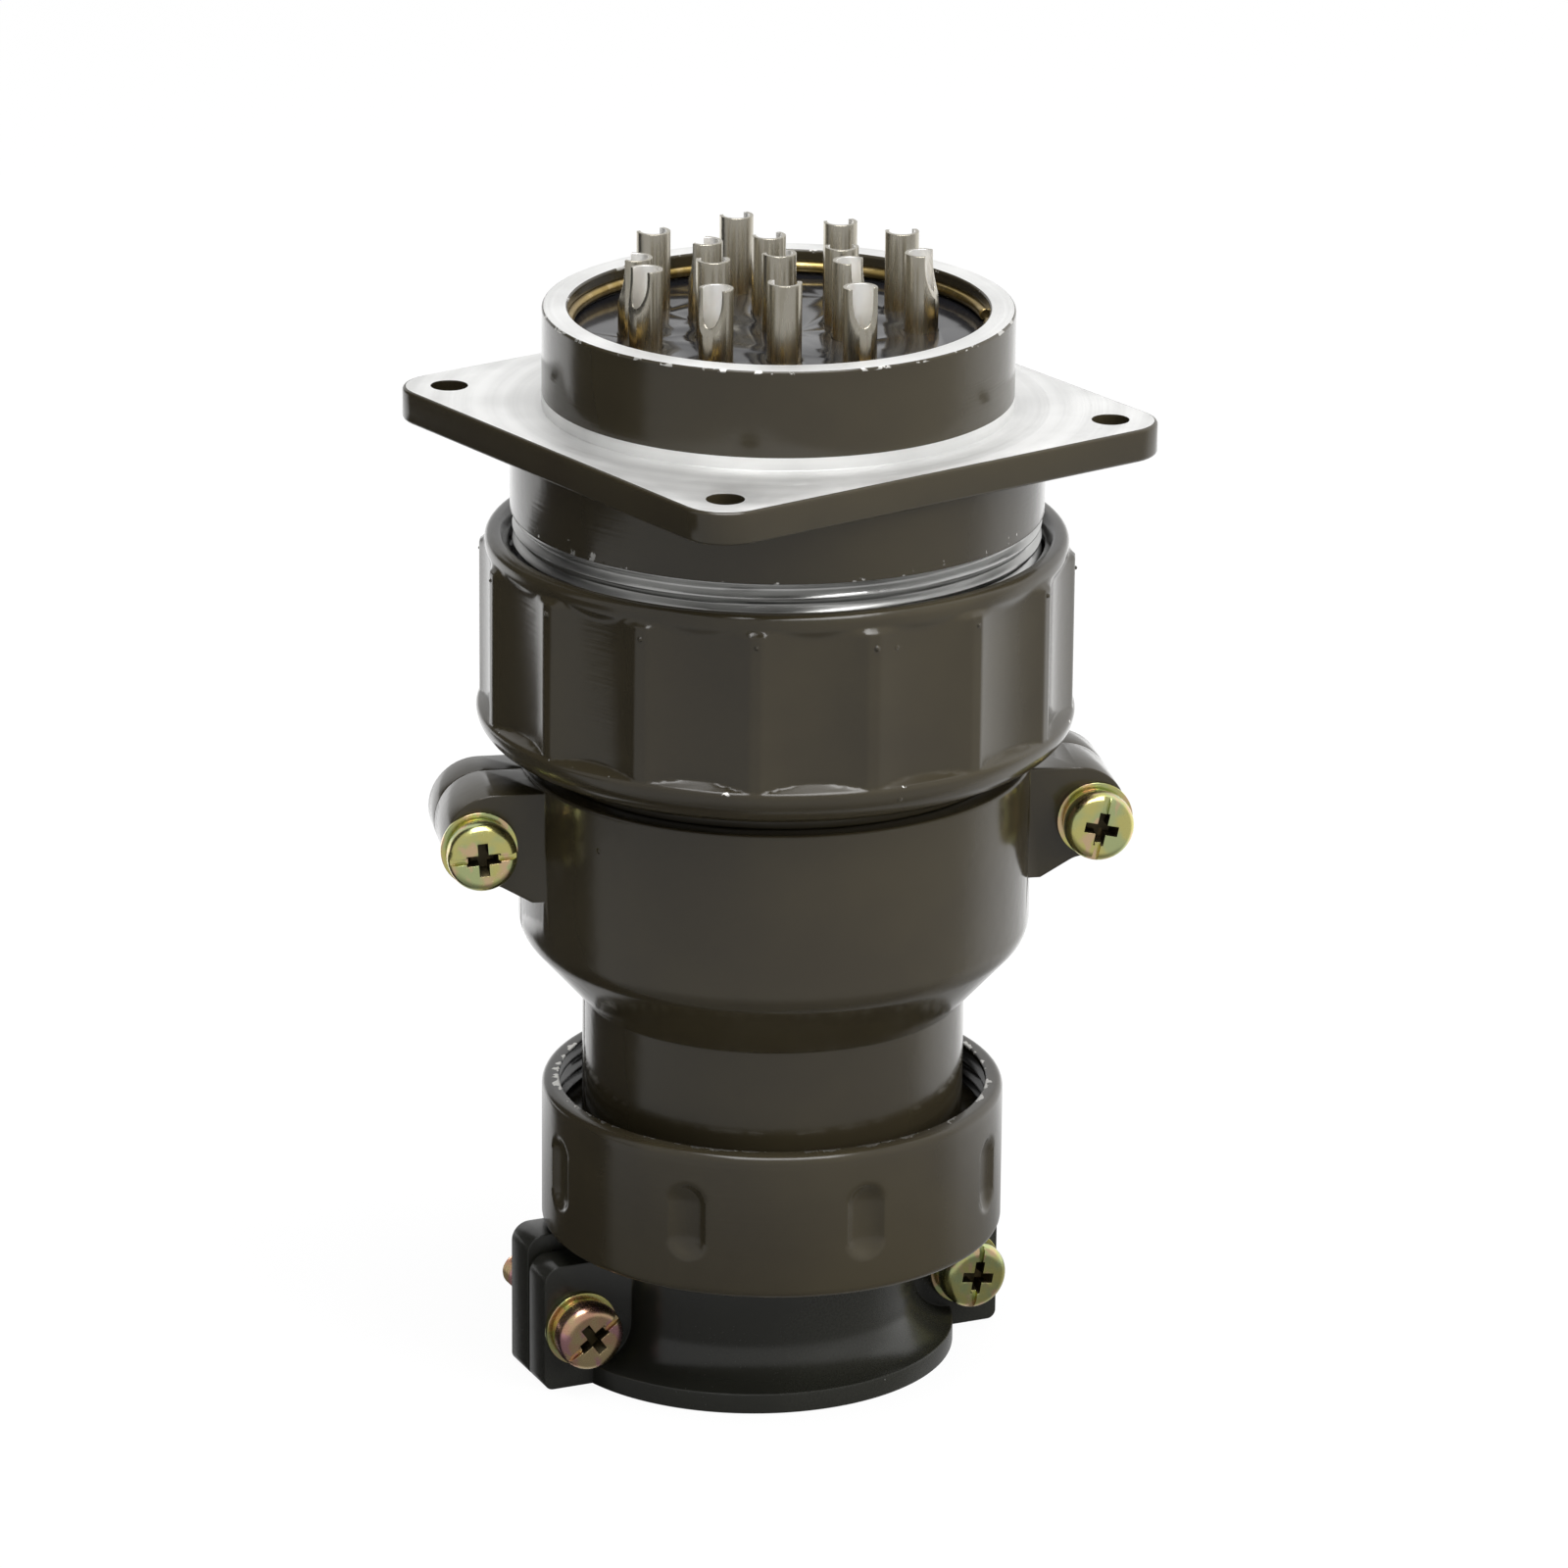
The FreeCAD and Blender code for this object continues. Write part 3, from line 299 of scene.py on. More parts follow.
@dataclass(frozen=True)
class Paint:
    """Gloss stoved paint over turned or cast aluminium, thin and worn at its edges."""

    name: str = "olive_paint"
    colour: Colour = (0.032, 0.026, 0.014)
    shade: Colour = (0.026, 0.021, 0.012)
    metal: Colour = (0.62, 0.61, 0.58)
    roughness: float = 0.17
    peel: float = 0.010 * MM
    marks: float = 0.004 * MM
    pimple: float = 0.06 * MM
    edge: float = 0.22 * MM
    cloud_scale: float = 60.0
    chip_scale: float = 900.0
    chip_spread: float = 1.7
    chip_border: Span = (0.72, 0.8)
    grain_scale: float = 4200.0
    peel_scale: float = 700.0
    mark_scale: float = 3600.0
    pimple_scale: float = 170.0

    def material(self) -> bpy.types.Material:
        """Builds the material.

        Returns:
            The finished material.
        """
        graph = Graph.of_material(self.name)
        height = graph.height()
        cloud = graph.noise(self.cloud_scale, 3.0)
        colour = graph.blend(cloud.step(0.35, 0.65), self.shade, self.colour)
        chips = (graph.noise(self.chip_scale, 4.0) - 0.5) * self.chip_spread
        worn = (graph.attribute("worn") + chips).step(*self.chip_border)
        colour = graph.blend(worn, colour, self.metal)
        grain = graph.noise(self.grain_scale, 2.0)
        roughness = (cloud - 0.5) * 0.12 + (grain - 0.5) * 0.06 + self.roughness + worn * 0.2
        normal = graph.soft_edges(self.edge)
        normal = graph.relief(graph.noise(self.peel_scale, 1.0), self.peel, normal)
        normal = graph.relief(graph.lines(height, self.mark_scale), self.marks, normal)
        normal = graph.relief(graph.specks(self.pimple_scale, 0.05, 0.16), self.pimple, normal)
        normal = graph.relief(1.0 - worn, self.marks * 3.0, normal)
        return graph.surface(colour, roughness, normal, {"IOR": 1.5, "Metallic": worn})


@dataclass(frozen=True)
class BareAluminium:
    """Bare metal with the rings of a turning tool."""

    name: str = "bare_aluminium"
    colour: Colour = (0.86, 0.86, 0.85)
    dull: Colour = (0.74, 0.74, 0.73)
    roughness: float = 0.52
    marks: float = 0.006 * MM
    edge: float = 0.12 * MM
    ring_scale: float = 4200.0
    band_scale: float = 620.0
    cloud_scale: float = 140.0
    scuff_scale: float = 500.0

    def material(self) -> bpy.types.Material:
        """Builds the material.

        Returns:
            The finished material.
        """
        graph = Graph.of_material(self.name)
        height = graph.height()
        across = graph.radius() + height
        rings = graph.lines(across, self.ring_scale, 3.0)
        broad = graph.lines(across, self.band_scale, 2.0)
        cloud = graph.noise(self.cloud_scale, 4.0)
        scuffs = graph.noise(self.scuff_scale, 3.0, (1.0, 3.0, 1.0)).step(0.6, 0.75)
        colour = graph.blend((cloud * 0.6 + broad * 0.5).step(0.35, 0.75), self.dull, self.colour)
        roughness = (rings - 0.5) * 0.2 + (cloud - 0.5) * 0.2 + scuffs * 0.08 + self.roughness
        normal = graph.relief(rings, self.marks, graph.soft_edges(self.edge))
        return graph.surface(colour, roughness, normal, {"Metallic": 1.0})


@dataclass(frozen=True)
class Plating:
    """A thin bright plating whose tint drifts from place to place."""

    name: str
    colour: Colour
    tint: Colour
    blush: Colour
    roughness: float
    drift: float = 420.0
    edge: float = 0.06 * MM
    grain: float = 0.002 * MM
    grain_scale: float = 5200.0

    def material(self) -> bpy.types.Material:
        """Builds the material.

        Returns:
            The finished material.
        """
        graph = Graph.of_material(self.name)
        first = graph.noise(self.drift, 2.0).step(0.4, 0.62)
        second = graph.noise(self.drift * 1.9, 2.0, (1.0, 1.3, 0.7)).step(0.52, 0.66)
        colour = graph.blend(second, graph.blend(first, self.colour, self.tint), self.blush)
        fine = graph.noise(self.grain_scale, 2.0)
        roughness = (fine - 0.5) * 0.16 + self.roughness
        normal = graph.relief(fine, self.grain, graph.soft_edges(self.edge))
        return graph.surface(colour, roughness, normal, {"Metallic": 1.0})


@dataclass(frozen=True)
class Silver:
    """Silver plating on a contact, warmer towards its foot, with drawn streaks along it."""

    name: str = "silver_plate"
    colour: Colour = (0.47, 0.44, 0.37)
    warm: Colour = (0.44, 0.33, 0.17)
    streaked: Colour = (0.34, 0.31, 0.24)
    roughness: float = 0.26
    foot: Span = (93.0 * MM, 96.0 * MM)
    ripple: float = 2.0 * MM
    cloud_scale: float = 600.0
    streak_scale: float = 2600.0
    streak_depth: float = 0.003 * MM
    edge: float = 0.08 * MM

    def material(self) -> bpy.types.Material:
        """Builds the material.

        Returns:
            The finished material.
        """
        graph = Graph.of_material(self.name)
        height = graph.height()
        streak = graph.noise(self.streak_scale, 3.0, (1.0, 1.0, 0.06))
        cloud = graph.noise(self.cloud_scale, 3.0)
        low = 1.0 - (height + (cloud - 0.5) * self.ripple).step(*self.foot)
        colour = graph.blend(low * 0.7, self.colour, self.warm)
        colour = graph.blend(streak.step(0.5, 0.66) * 0.5, colour, self.streaked)
        roughness = (streak - 0.5) * 0.25 + self.roughness
        normal = graph.relief(streak, self.streak_depth, graph.soft_edges(self.edge))
        return graph.surface(colour, roughness, normal, {"Metallic": 1.0})


@dataclass(frozen=True)
class Moulding:
    """Glossy black moulded plastic."""

    name: str = "black_insulator"
    colour: Colour = (0.012, 0.012, 0.014)
    dust: Colour = (0.06, 0.058, 0.055)
    roughness: float = 0.06
    cloud_scale: float = 260.0
    wave: float = 0.003 * MM
    wave_scale: float = 380.0
    edge: float = 0.1 * MM

    def material(self) -> bpy.types.Material:
        """Builds the material.

        Returns:
            The finished material.
        """
        graph = Graph.of_material(self.name)
        cloud = graph.noise(self.cloud_scale, 4.0)
        colour = graph.blend(cloud.step(0.58, 0.8) * 0.3, self.colour, self.dust)
        roughness = cloud * 0.12 + self.roughness
        waves = graph.noise(self.wave_scale, 2.0)
        normal = graph.relief(waves, self.wave, graph.soft_edges(self.edge))
        return graph.surface(colour, roughness, normal, {"IOR": 1.55})


class Finish(Enum):
    """The finishes that the connector's pieces are made in."""

    PAINT = Paint()
    CAST = Paint(name="cast_olive_paint", marks=0.001 * MM, peel=0.016 * MM)
    # Greyer, darker copy of the olive paint for the cable clamp; its darkening is painted shade for
    # the clamp low by the floor.
    PAINTED_SHADE_CLAMP = Paint(
        "clamp_coat_painted_shade", (0.018, 0.018, 0.014), (0.015, 0.015, 0.012), roughness=0.26, marks=0.001 * MM
    )
    BARE = BareAluminium()
    THREAD = BareAluminium("bare_thread", (0.60, 0.60, 0.59), (0.42, 0.42, 0.41), 0.34)
    SILVER = Silver()
    BRIGHT_SILVER = Plating(
        "bright_silver", (0.95, 0.94, 0.91), (0.90, 0.88, 0.84), (0.93, 0.90, 0.86), 0.42
    )
    MOULDING = Moulding()
    BRASS = Plating("brass_wire", (0.36, 0.26, 0.09), (0.30, 0.21, 0.07), (0.44, 0.33, 0.15), 0.3)
    YELLOW_ZINC = Plating(
        "yellow_zinc", (0.66, 0.61, 0.22), (0.52, 0.58, 0.28), (0.74, 0.54, 0.32), 0.24
    )
    PINK_ZINC = Plating("pink_zinc", (0.66, 0.37, 0.25), (0.62, 0.48, 0.26), (0.64, 0.34, 0.35), 0.26)
    # Dark plating for the faces deep in the screw heads' recesses: painted shade.
    PAINTED_SHADE_RECESS = Plating("recess", (0.10, 0.08, 0.04), (0.06, 0.05, 0.03), (0.16, 0.12, 0.06), 0.5)


@lru_cache
def material_of(finish: Finish) -> bpy.types.Material:
    """A finish's material, made once."""
    return finish.value.material()


@dataclass(frozen=True)
class Corner:
    """A corner of a turned profile, in millimetres.

    The rounding has a reach and is divided into an arc of so many faces. The paint is worn there
    from 0 to 1. The edge that follows is divided into rows.
    """

    radius: float
    height: float
    round: float = 0.0
    worn: float = 0.0
    rows: int = 1
    arc: int = 5


def linked(name: str, data: bpy.types.ID) -> bpy.types.Object:
    """Puts data into the scene.

    Args:
        name: The object's name.
        data: Its mesh, lamp or camera.

    Returns:
        The new object.
    """
    made = bpy.data.objects.new(name, data)
    bpy.context.scene.collection.objects.link(made)
    return made


class Form:
    """A mesh in the making."""

    def __init__(self) -> None:
        """Starts an empty mesh."""
        self.bm = bmesh.new()
        self.worn = self.bm.verts.layers.float.new("worn")

    def load(self, mesh: bpy.types.Mesh) -> None:
        """Takes over a mesh.

        Args:
            mesh: What replaces the mesh so far.
        """
        self.bm.clear()
        self.bm.from_mesh(mesh)
        layers = self.bm.verts.layers.float
        self.worn = layers.get("worn") or layers.new("worn")

    @classmethod
    def of_node(cls, node: str) -> "Form":
        """A merged copy of a CAD node's mesh, with its flat facets joined.

        Args:
            node: The node's name.

        Returns:
            The copy.
        """
        form = cls()
        form.load(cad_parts[node].data)
        bmesh.ops.remove_doubles(form.bm, verts=form.bm.verts, dist=0.001 * MM)
        bmesh.ops.dissolve_limit(
            form.bm,
            angle_limit=FLAT_ANGLE,
            verts=form.bm.verts,
            edges=form.bm.edges,
            use_dissolve_boundaries=False,
            delimit=set(),
        )
        return form

    @classmethod
    def turning(cls, corners: Sequence[Corner], steps: int) -> "Form":
        """A closed profile spun about the axis.

        Args:
            corners: The profile, in order.
            steps: How many faces go round.

        Returns:
            The closed mesh.
        """
        form = cls()
        bm = form.bm
        points = [bm.verts.new((item.radius * MM, 0.0, item.height * MM)) for item in corners]
        sides = [bm.edges.new((point, points[i - len(points) + 1])) for i, point in enumerate(points)]
        for place, item in zip(points, corners):
            place[form.worn] = item.worn
        for side, item in zip(sides, corners):
            if item.rows > 1:
                bmesh.ops.subdivide_edges(bm, edges=[side], cuts=item.rows - 1)
        for item in corners:
            if item.round > 0.0:
                spot = Vector((item.radius * MM, 0.0, item.height * MM))
                form.round_off(spot, item.round * MM, item.arc)
        bmesh.ops.spin(
            bm,
            geom=bm.verts[:] + bm.edges[:],
            cent=(0, 0, 0),
            axis=(0, 0, 1),
            angle=FULL_TURN,
            steps=steps,
            use_merge=True,
            use_duplicate=False,
        )
        bmesh.ops.remove_doubles(bm, verts=bm.verts, dist=0.0005 * MM)
        bmesh.ops.recalc_face_normals(bm, faces=bm.faces)
        return form

    @classmethod
    def plate(cls, outline: Sequence[Point], low: float, high: float) -> "Form":
        """A flat plate in the XY plane.

        Args:
            outline: Corners as x, y and the reach of their rounding.
            low: The lower face's height.
            high: The upper face's height.

        Returns:
            The closed mesh.
        """
        form = cls()
        bm = form.bm
        bm.faces.new([bm.verts.new((x, y, low)) for x, y, _ in outline])
        for x, y, reach in outline:
            if reach > 0.0:
                form.round_off(Vector((x, y, low)), reach, 10)
        face = bm.faces[:]
        top = bmesh.ops.extrude_face_region(bm, geom=face)
        lifted = [item for item in top["geom"] if isinstance(item, bmesh.types.BMVert)]
        bmesh.ops.translate(bm, verts=lifted, vec=(0, 0, high - low))
        bmesh.ops.recalc_face_normals(bm, faces=bm.faces)
        return form

    def round_off(self, spot: Vector, reach: float, arc: int) -> None:
        """Rounds the outline's corner that lies at a spot."""
        nearest = min(self.bm.verts, key=lambda vert: (vert.co - spot).length_squared)
        self.bevel([nearest], "VERTICES", reach, arc)

    def bevel(self, geometry: list, affect: str, width: float, segments: int) -> dict:
        """Bevels part of the mesh.

        Args:
            geometry: The vertices or edges.
            affect: Which of them they are.
            width: The bevel's width in metres.
            segments: How many faces it has.

        Returns:
            What the bevel made.
        """
        return bmesh.ops.bevel(
            self.bm,
            geom=geometry,
            offset=width,
            offset_type="OFFSET",
            segments=segments,
            profile=0.5,
            affect=affect,
            clamp_overlap=True,
            material=-1,
        )

    def ease(
        self,
        width: float,
        test: Callable[[bmesh.types.BMEdge], bool],
        segments: int,
        worn: float = 0.0,
    ) -> None:
        """Bevels the edges that a test picks.

        Args:
            width: The bevel's width in metres.
            test: Says whether an edge is bevelled.
            segments: How many faces the bevel has.
            worn: How bare the paint is on it.
        """
        edges = [edge for edge in self.bm.edges if test(edge)]
        for place in self.bevel(edges, "EDGES", width, segments)["verts"]:
            place[self.worn] = max(place[self.worn], worn)

    def sharp(self, edge: bmesh.types.BMEdge) -> bool:
        """Whether an edge is a crease that stands out."""
        return len(edge.link_faces) == 2 and edge.is_convex and edge.calc_face_angle() > SHARP_ANGLE

    def move(self, matrix: Matrix) -> "Form":
        """Moves the whole form."""
        bmesh.ops.transform(self.bm, matrix=matrix, verts=self.bm.verts)
        return self

    def shape(self, move: Callable[[Vector], Optional[tuple[Vector, float]]]) -> "Form":
        """Moves each vertex by a rule.

        Args:
            move: Gives a vertex's new place and how worn it is, or nothing.

        Returns:
            This form.
        """
        for place in self.bm.verts:
            answer = move(place.co)
            if answer is not None:
                place.co, worn = answer
                place[self.worn] = max(place[self.worn], worn)
        return self

    def as_object(self, name: str) -> bpy.types.Object:
        """Makes an object of this form.

        Args:
            name: The object's name.

        Returns:
            The new object, without a finish.
        """
        mesh = bpy.data.meshes.new(name)
        self.bm.to_mesh(mesh)
        return linked(name, mesh)

    def add(self, other: "Form") -> None:
        """Takes in another form.

        Args:
            other: The form, which becomes a separate shell.
        """
        spare = bpy.data.meshes.new("spare")
        other.bm.to_mesh(spare)
        self.bm.from_mesh(spare)
        bpy.data.meshes.remove(spare)

    def combine(self, other: "Form", operation: str = "DIFFERENCE") -> None:
        """Cuts or joins with another form by the exact solver.

        Args:
            other: The form that cuts or joins.
            operation: DIFFERENCE cuts and UNION joins.
        """
        mine, tool = self.as_object("mine"), other.as_object("tool")
        step = mine.modifiers.new("combine", "BOOLEAN")
        step.operation = operation
        step.solver = "EXACT"
        step.use_self = False
        step.object = tool
        bpy.context.view_layer.update()
        seen = mine.evaluated_get(bpy.context.evaluated_depsgraph_get())
        result = bpy.data.meshes.new_from_object(seen)
        self.load(result)
        for spare in (mine, tool):
            mesh = spare.data
            bpy.data.objects.remove(spare)
            bpy.data.meshes.remove(mesh)
        bpy.data.meshes.remove(result)

    def finish(
        self,
        name: str,
        finishes: Sequence[Finish],
        choose: Optional[Callable[[Vector, Vector], int]] = None,
        smooth: float = SHARP_ANGLE,
    ) -> bpy.types.Object:
        """Makes the object.

        Args:
            name: The object's name.
            finishes: Its finishes, in order.
            choose: Gives the number of a face's finish from its middle and normal.
            smooth: The angle above which an edge stays sharp.

        Returns:
            The new object, at the origin.
        """
        if choose is not None:
            for face in self.bm.faces:
                face.material_index = choose(face.calc_center_median(), face.normal)
        made = self.as_object(name)
        self.bm.free()
        for finish in finishes:
            made.data.materials.append(material_of(finish))
        made.data.shade_smooth()
        made.data.set_sharp_from_angle(angle=smooth)
        return made


@dataclass
class NodePiece:
    """A piece that stands for one CAD node and takes its place from it."""

    node: str
    low: Vector = field(init=False)
    high: Vector = field(init=False)

    def __post_init__(self) -> None:
        """Reads the node's corners once."""
        self.low, self.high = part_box(self.node)

    def profile(self, low: float, high: float) -> list[Corner]:
        """The section, from the heights of the node's ends in millimetres."""
        raise NotImplementedError

    def turned(self, steps: int) -> Form:
        """The section spun about the axis."""
        return Form.turning(self.profile(self.low.z / MM, self.high.z / MM), steps)


def seat(piece: bpy.types.Object, body: str, slot: str, *names: str) -> None:
    """Gives a piece its place in the part.

    Args:
        piece: The finished piece.
        body: The body that it rides.
        slot: Its material slot, which is not used.
        names: The CAD nodes that it stands for.
    """
    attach(piece, body)
    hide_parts(*names)
    LOG.info("%s rides %s and stands for %s", piece.name, body, ", ".join(names))


def polar(place: Vector) -> tuple[float, float]:
    """Distance from the axis and angle from +X."""
    return math.hypot(place.x, place.y), math.atan2(place.y, place.x)


def at_radius(place: Vector, radius: float) -> Vector:
    """The point at another distance from the axis."""
    now = math.hypot(place.x, place.y)
    return Vector((place.x * radius / now, place.y * radius / now, place.z))


def soft_max(first: float, second: float, width: float) -> float:
    """The larger of two values, rounded where they meet."""
    overlap = max(width - abs(first - second), 0.0) / width
    return max(first, second) + overlap * overlap * width / 4.0


def soft_min(first: float, second: float, width: float) -> float:
    """The smaller of two values, rounded where they meet."""
    return -soft_max(-first, -second, width)


def wrapped(angle: float, pitch: float) -> float:
    """An angle's distance from the nearest multiple of a pitch, signed."""
    return (angle + pitch / 2.0) % pitch - pitch / 2.0


def thread_wave(place: Vector, pitch: float, start: float, end: float, depth: float) -> float:
    """How far a thread's flank stands at a point, fading out at both ends.

    Args:
        place: The point.
        pitch: The thread's pitch.
        start: Height of its lower end.
        end: Height of its upper end.
        depth: Depth from crest to root.

    Returns:
        A depth from 0 at the crest to the full depth at the root.
    """
    _, angle = polar(place)
    phase = (place.z / pitch - angle / FULL_TURN) % 1.0
    flank = abs(phase - 0.5) * 2.0
    wave = min(max((flank - 0.12) / 0.72, 0.0), 1.0)
    fade = min(max(min(place.z - start, end - place.z) / (pitch * 0.25), 0.0), 1.0)
    return depth * wave * fade


@dataclass
class CouplingNut(NodePiece):
    """The coupling nut: a scalloped grip between a rounded bead and a plain band."""

    node: str = "coupling_nut"
    turn: float = math.radians(-2.45)
    ribs: int = 16
    steps: int = 480
    grip: float = 25.4 * MM
    scallop: float = 20.0 * MM
    floor: float = 24.5 * MM
    soft: float = 0.07 * MM
    crowding: float = 0.7
    core: float = 23.9 * MM
    foot: float = 2.6 * MM
    rib_drop: float = 1.2 * MM
    rib_fade: float = 0.5 * MM
    rib_edge: float = 0.12 * MM
    rib_wear: float = 0.3
    lip: float = 5.2 * MM
    mouth: float = 0.8 * MM
    bore: float = 22.8 * MM
    thread_depth: float = 0.6 * MM

    def profile(self, low: float, high: float) -> list[Corner]:
        """The section, from the lip's bore outwards and up.

        Args:
            low: Height of the node's lower end in millimetres.
            high: Height of its upper end.

        Returns:
            The closed section's corners.
        """
        return [
            Corner(20.5, low, 0.3),
            Corner(22.6, low, 0.5),
            Corner(24.9, low + 1.25, 1.0),
            Corner(25.6, low + 2.6, 0.6),
            Corner(25.6, low + 3.4, 0.4, 0.42, 6),
            Corner(24.0, low + 4.3, rows=42),
            Corner(24.3, high - 2.4, rows=6),
            Corner(24.85, high - 1.3, 0.3),
            Corner(24.85, high, 0.7, 0.05),
            Corner(23.6, high, 0.15, 0.1),
            Corner(22.8, high - 0.8, rows=64),
            Corner(22.8, low + 5.2),
            Corner(20.5, low + 5.2),
        ]

    def crowd(self, place: Vector) -> tuple[Vector, float]:
        """Draws the vertices together at the ribs, so that their edges come out crisp.

        Args:
            place: A vertex's place.

        Returns:
            Its new place and how worn it is.
        """
        radius, angle = polar(place)
        pitch = FULL_TURN / self.ribs
        off = wrapped(angle - self.turn, pitch) / pitch
        angle += self.crowding * math.sin(FULL_TURN * off) * pitch / FULL_TURN
        return Vector((radius * math.cos(angle), radius * math.sin(angle), place.z)), 0.0

    def carve(self, place: Vector) -> Optional[tuple[Vector, float]]:
        """Raises the ribs over the core and cuts the thread.

        Args:
            place: A vertex's place.

        Returns:
            Its new place and how worn it is, or nothing.
        """
        radius, angle = polar(place)
        low, high = self.low.z, self.high.z
        if radius > self.core and low + self.foot < place.z < high - self.rib_drop:
            centre = self.floor + self.scallop
            off = wrapped(angle - self.turn, FULL_TURN / self.ribs)
            chord = math.sqrt(self.scallop**2 - (centre * math.sin(off)) ** 2)
            reach = centre * math.cos(off) - chord
            grip = soft_min(reach, self.grip, self.soft)
            full = soft_max(radius, grip, self.soft * 1.5)
            fade = min((high - self.rib_drop - place.z) / self.rib_fade, 1.0)
            worn = self.rib_wear * max(1.0 - abs(reach - self.grip) / self.rib_edge, 0.0)
            return at_radius(place, radius + (full - radius) * fade), worn
        if abs(radius - self.bore) < TOUCH:
            start, end = low + self.lip, high - self.mouth
            cut = thread_wave(place, THREAD_PITCH, start, end, self.thread_depth)
            return at_radius(place, radius + cut), 0.0
        return None

    def pimples(self) -> Form:
        """Drops of paint that dried at the ribs' tops.

        Returns:
            All the drops in one form.
        """
        drops = Form()
        chance = random.Random(11)
        for number in range(self.ribs):
            angle = self.turn + FULL_TURN * (number + 0.5) / self.ribs
            angle += chance.uniform(-0.008, 0.008)
            height = self.high.z - chance.uniform(2.2, 2.9) * MM
            spot = Vector((self.grip * math.cos(angle), self.grip * math.sin(angle), height))
            size = chance.uniform(0.14, 0.24) * MM
            place = Matrix.Translation(spot)
            bmesh.ops.create_icosphere(drops.bm, subdivisions=2, radius=size, matrix=place)
        return drops

    def build(self) -> None:
        """Makes the nut."""
        form = self.turned(self.steps)
        form.shape(self.crowd).shape(self.carve)
        form.add(self.pimples())
        piece = form.finish("coupling_nut_grip", [Finish.PAINT])
        seat(piece, "coupling_nut", "olive_paint", self.node)


@dataclass
class UnionNut(NodePiece):
    """The ring nut at the neck: eight ball-ended flutes and an internal thread."""

    node: str = "union_nut"
    turn: float = math.radians(14.0)
    flutes: int = 8
    steps: int = 400
    outside: float = 20.0 * MM
    bore: float = 18.5 * MM
    flute_radius: float = 2.6 * MM
    flute_depth: float = 0.7 * MM
    flute_top: float = 2.2 * MM
    flute_length: float = 8.4 * MM
    flute_soft: float = 0.1 * MM
    floor: float = 2.0 * MM
    mouth: float = 0.3 * MM
    thread_depth: float = 0.6 * MM

    def profile(self, low: float, high: float) -> list[Corner]:
        """The section, from the foot's bore outwards and up.

        Args:
            low: Height of the node's lower end in millimetres.
            high: Height of its upper end.

        Returns:
            The closed section's corners.
        """
        return [
            Corner(15.2, low, 0.2),
            Corner(20.0, low, 0.6, 0.15, 2),
            Corner(20.0, low + 1.6, rows=40),
            Corner(20.0, high - 1.4, rows=2),
            Corner(20.0, high, 1.1, 0.08, 2, 8),
            Corner(18.5, high, 0.16, 0.72),
            Corner(18.5, high - 0.35, rows=72),
            Corner(18.5, low + 2.0),
            Corner(15.2, low + 2.0),
        ]

    def carve(self, place: Vector) -> Optional[tuple[Vector, float]]:
        """Sinks the flutes and cuts the thread.

        Args:
            place: A vertex's place.

        Returns:
            Its new place and how worn it is, or nothing.
        """
        radius, angle = polar(place)
        low, high = self.low.z, self.high.z
        top = high - self.flute_top - self.flute_radius
        bottom = high - self.flute_top - self.flute_length + self.flute_radius
        if abs(radius - self.outside) < TOUCH:
            beyond = max(place.z - top, bottom - place.z, 0.0)
            span = self.flute_radius**2 - beyond**2
            centre = self.outside - self.flute_depth + self.flute_radius
            off = wrapped(angle - self.turn, FULL_TURN / self.flutes)
            inside = span - (centre * math.sin(off)) ** 2
            if span <= 0.0 or inside <= 0.0:
                return None
            sunk = centre * math.cos(off) - math.sqrt(inside)
            return at_radius(place, soft_min(radius, sunk, self.flute_soft)), 0.0
        if abs(radius - self.bore) < TOUCH and place.z < high - self.mouth:
            cut = thread_wave(place, THREAD_PITCH, low + self.floor, high, self.thread_depth)
            return at_radius(place, radius + cut), 0.0
        return None

    def build(self) -> None:
        """Makes the nut."""
        form = self.turned(self.steps)
        form.shape(self.carve)
        piece = form.finish("union_nut_ring", [Finish.PAINT])
        seat(piece, "union_nut", "olive_paint", self.node)


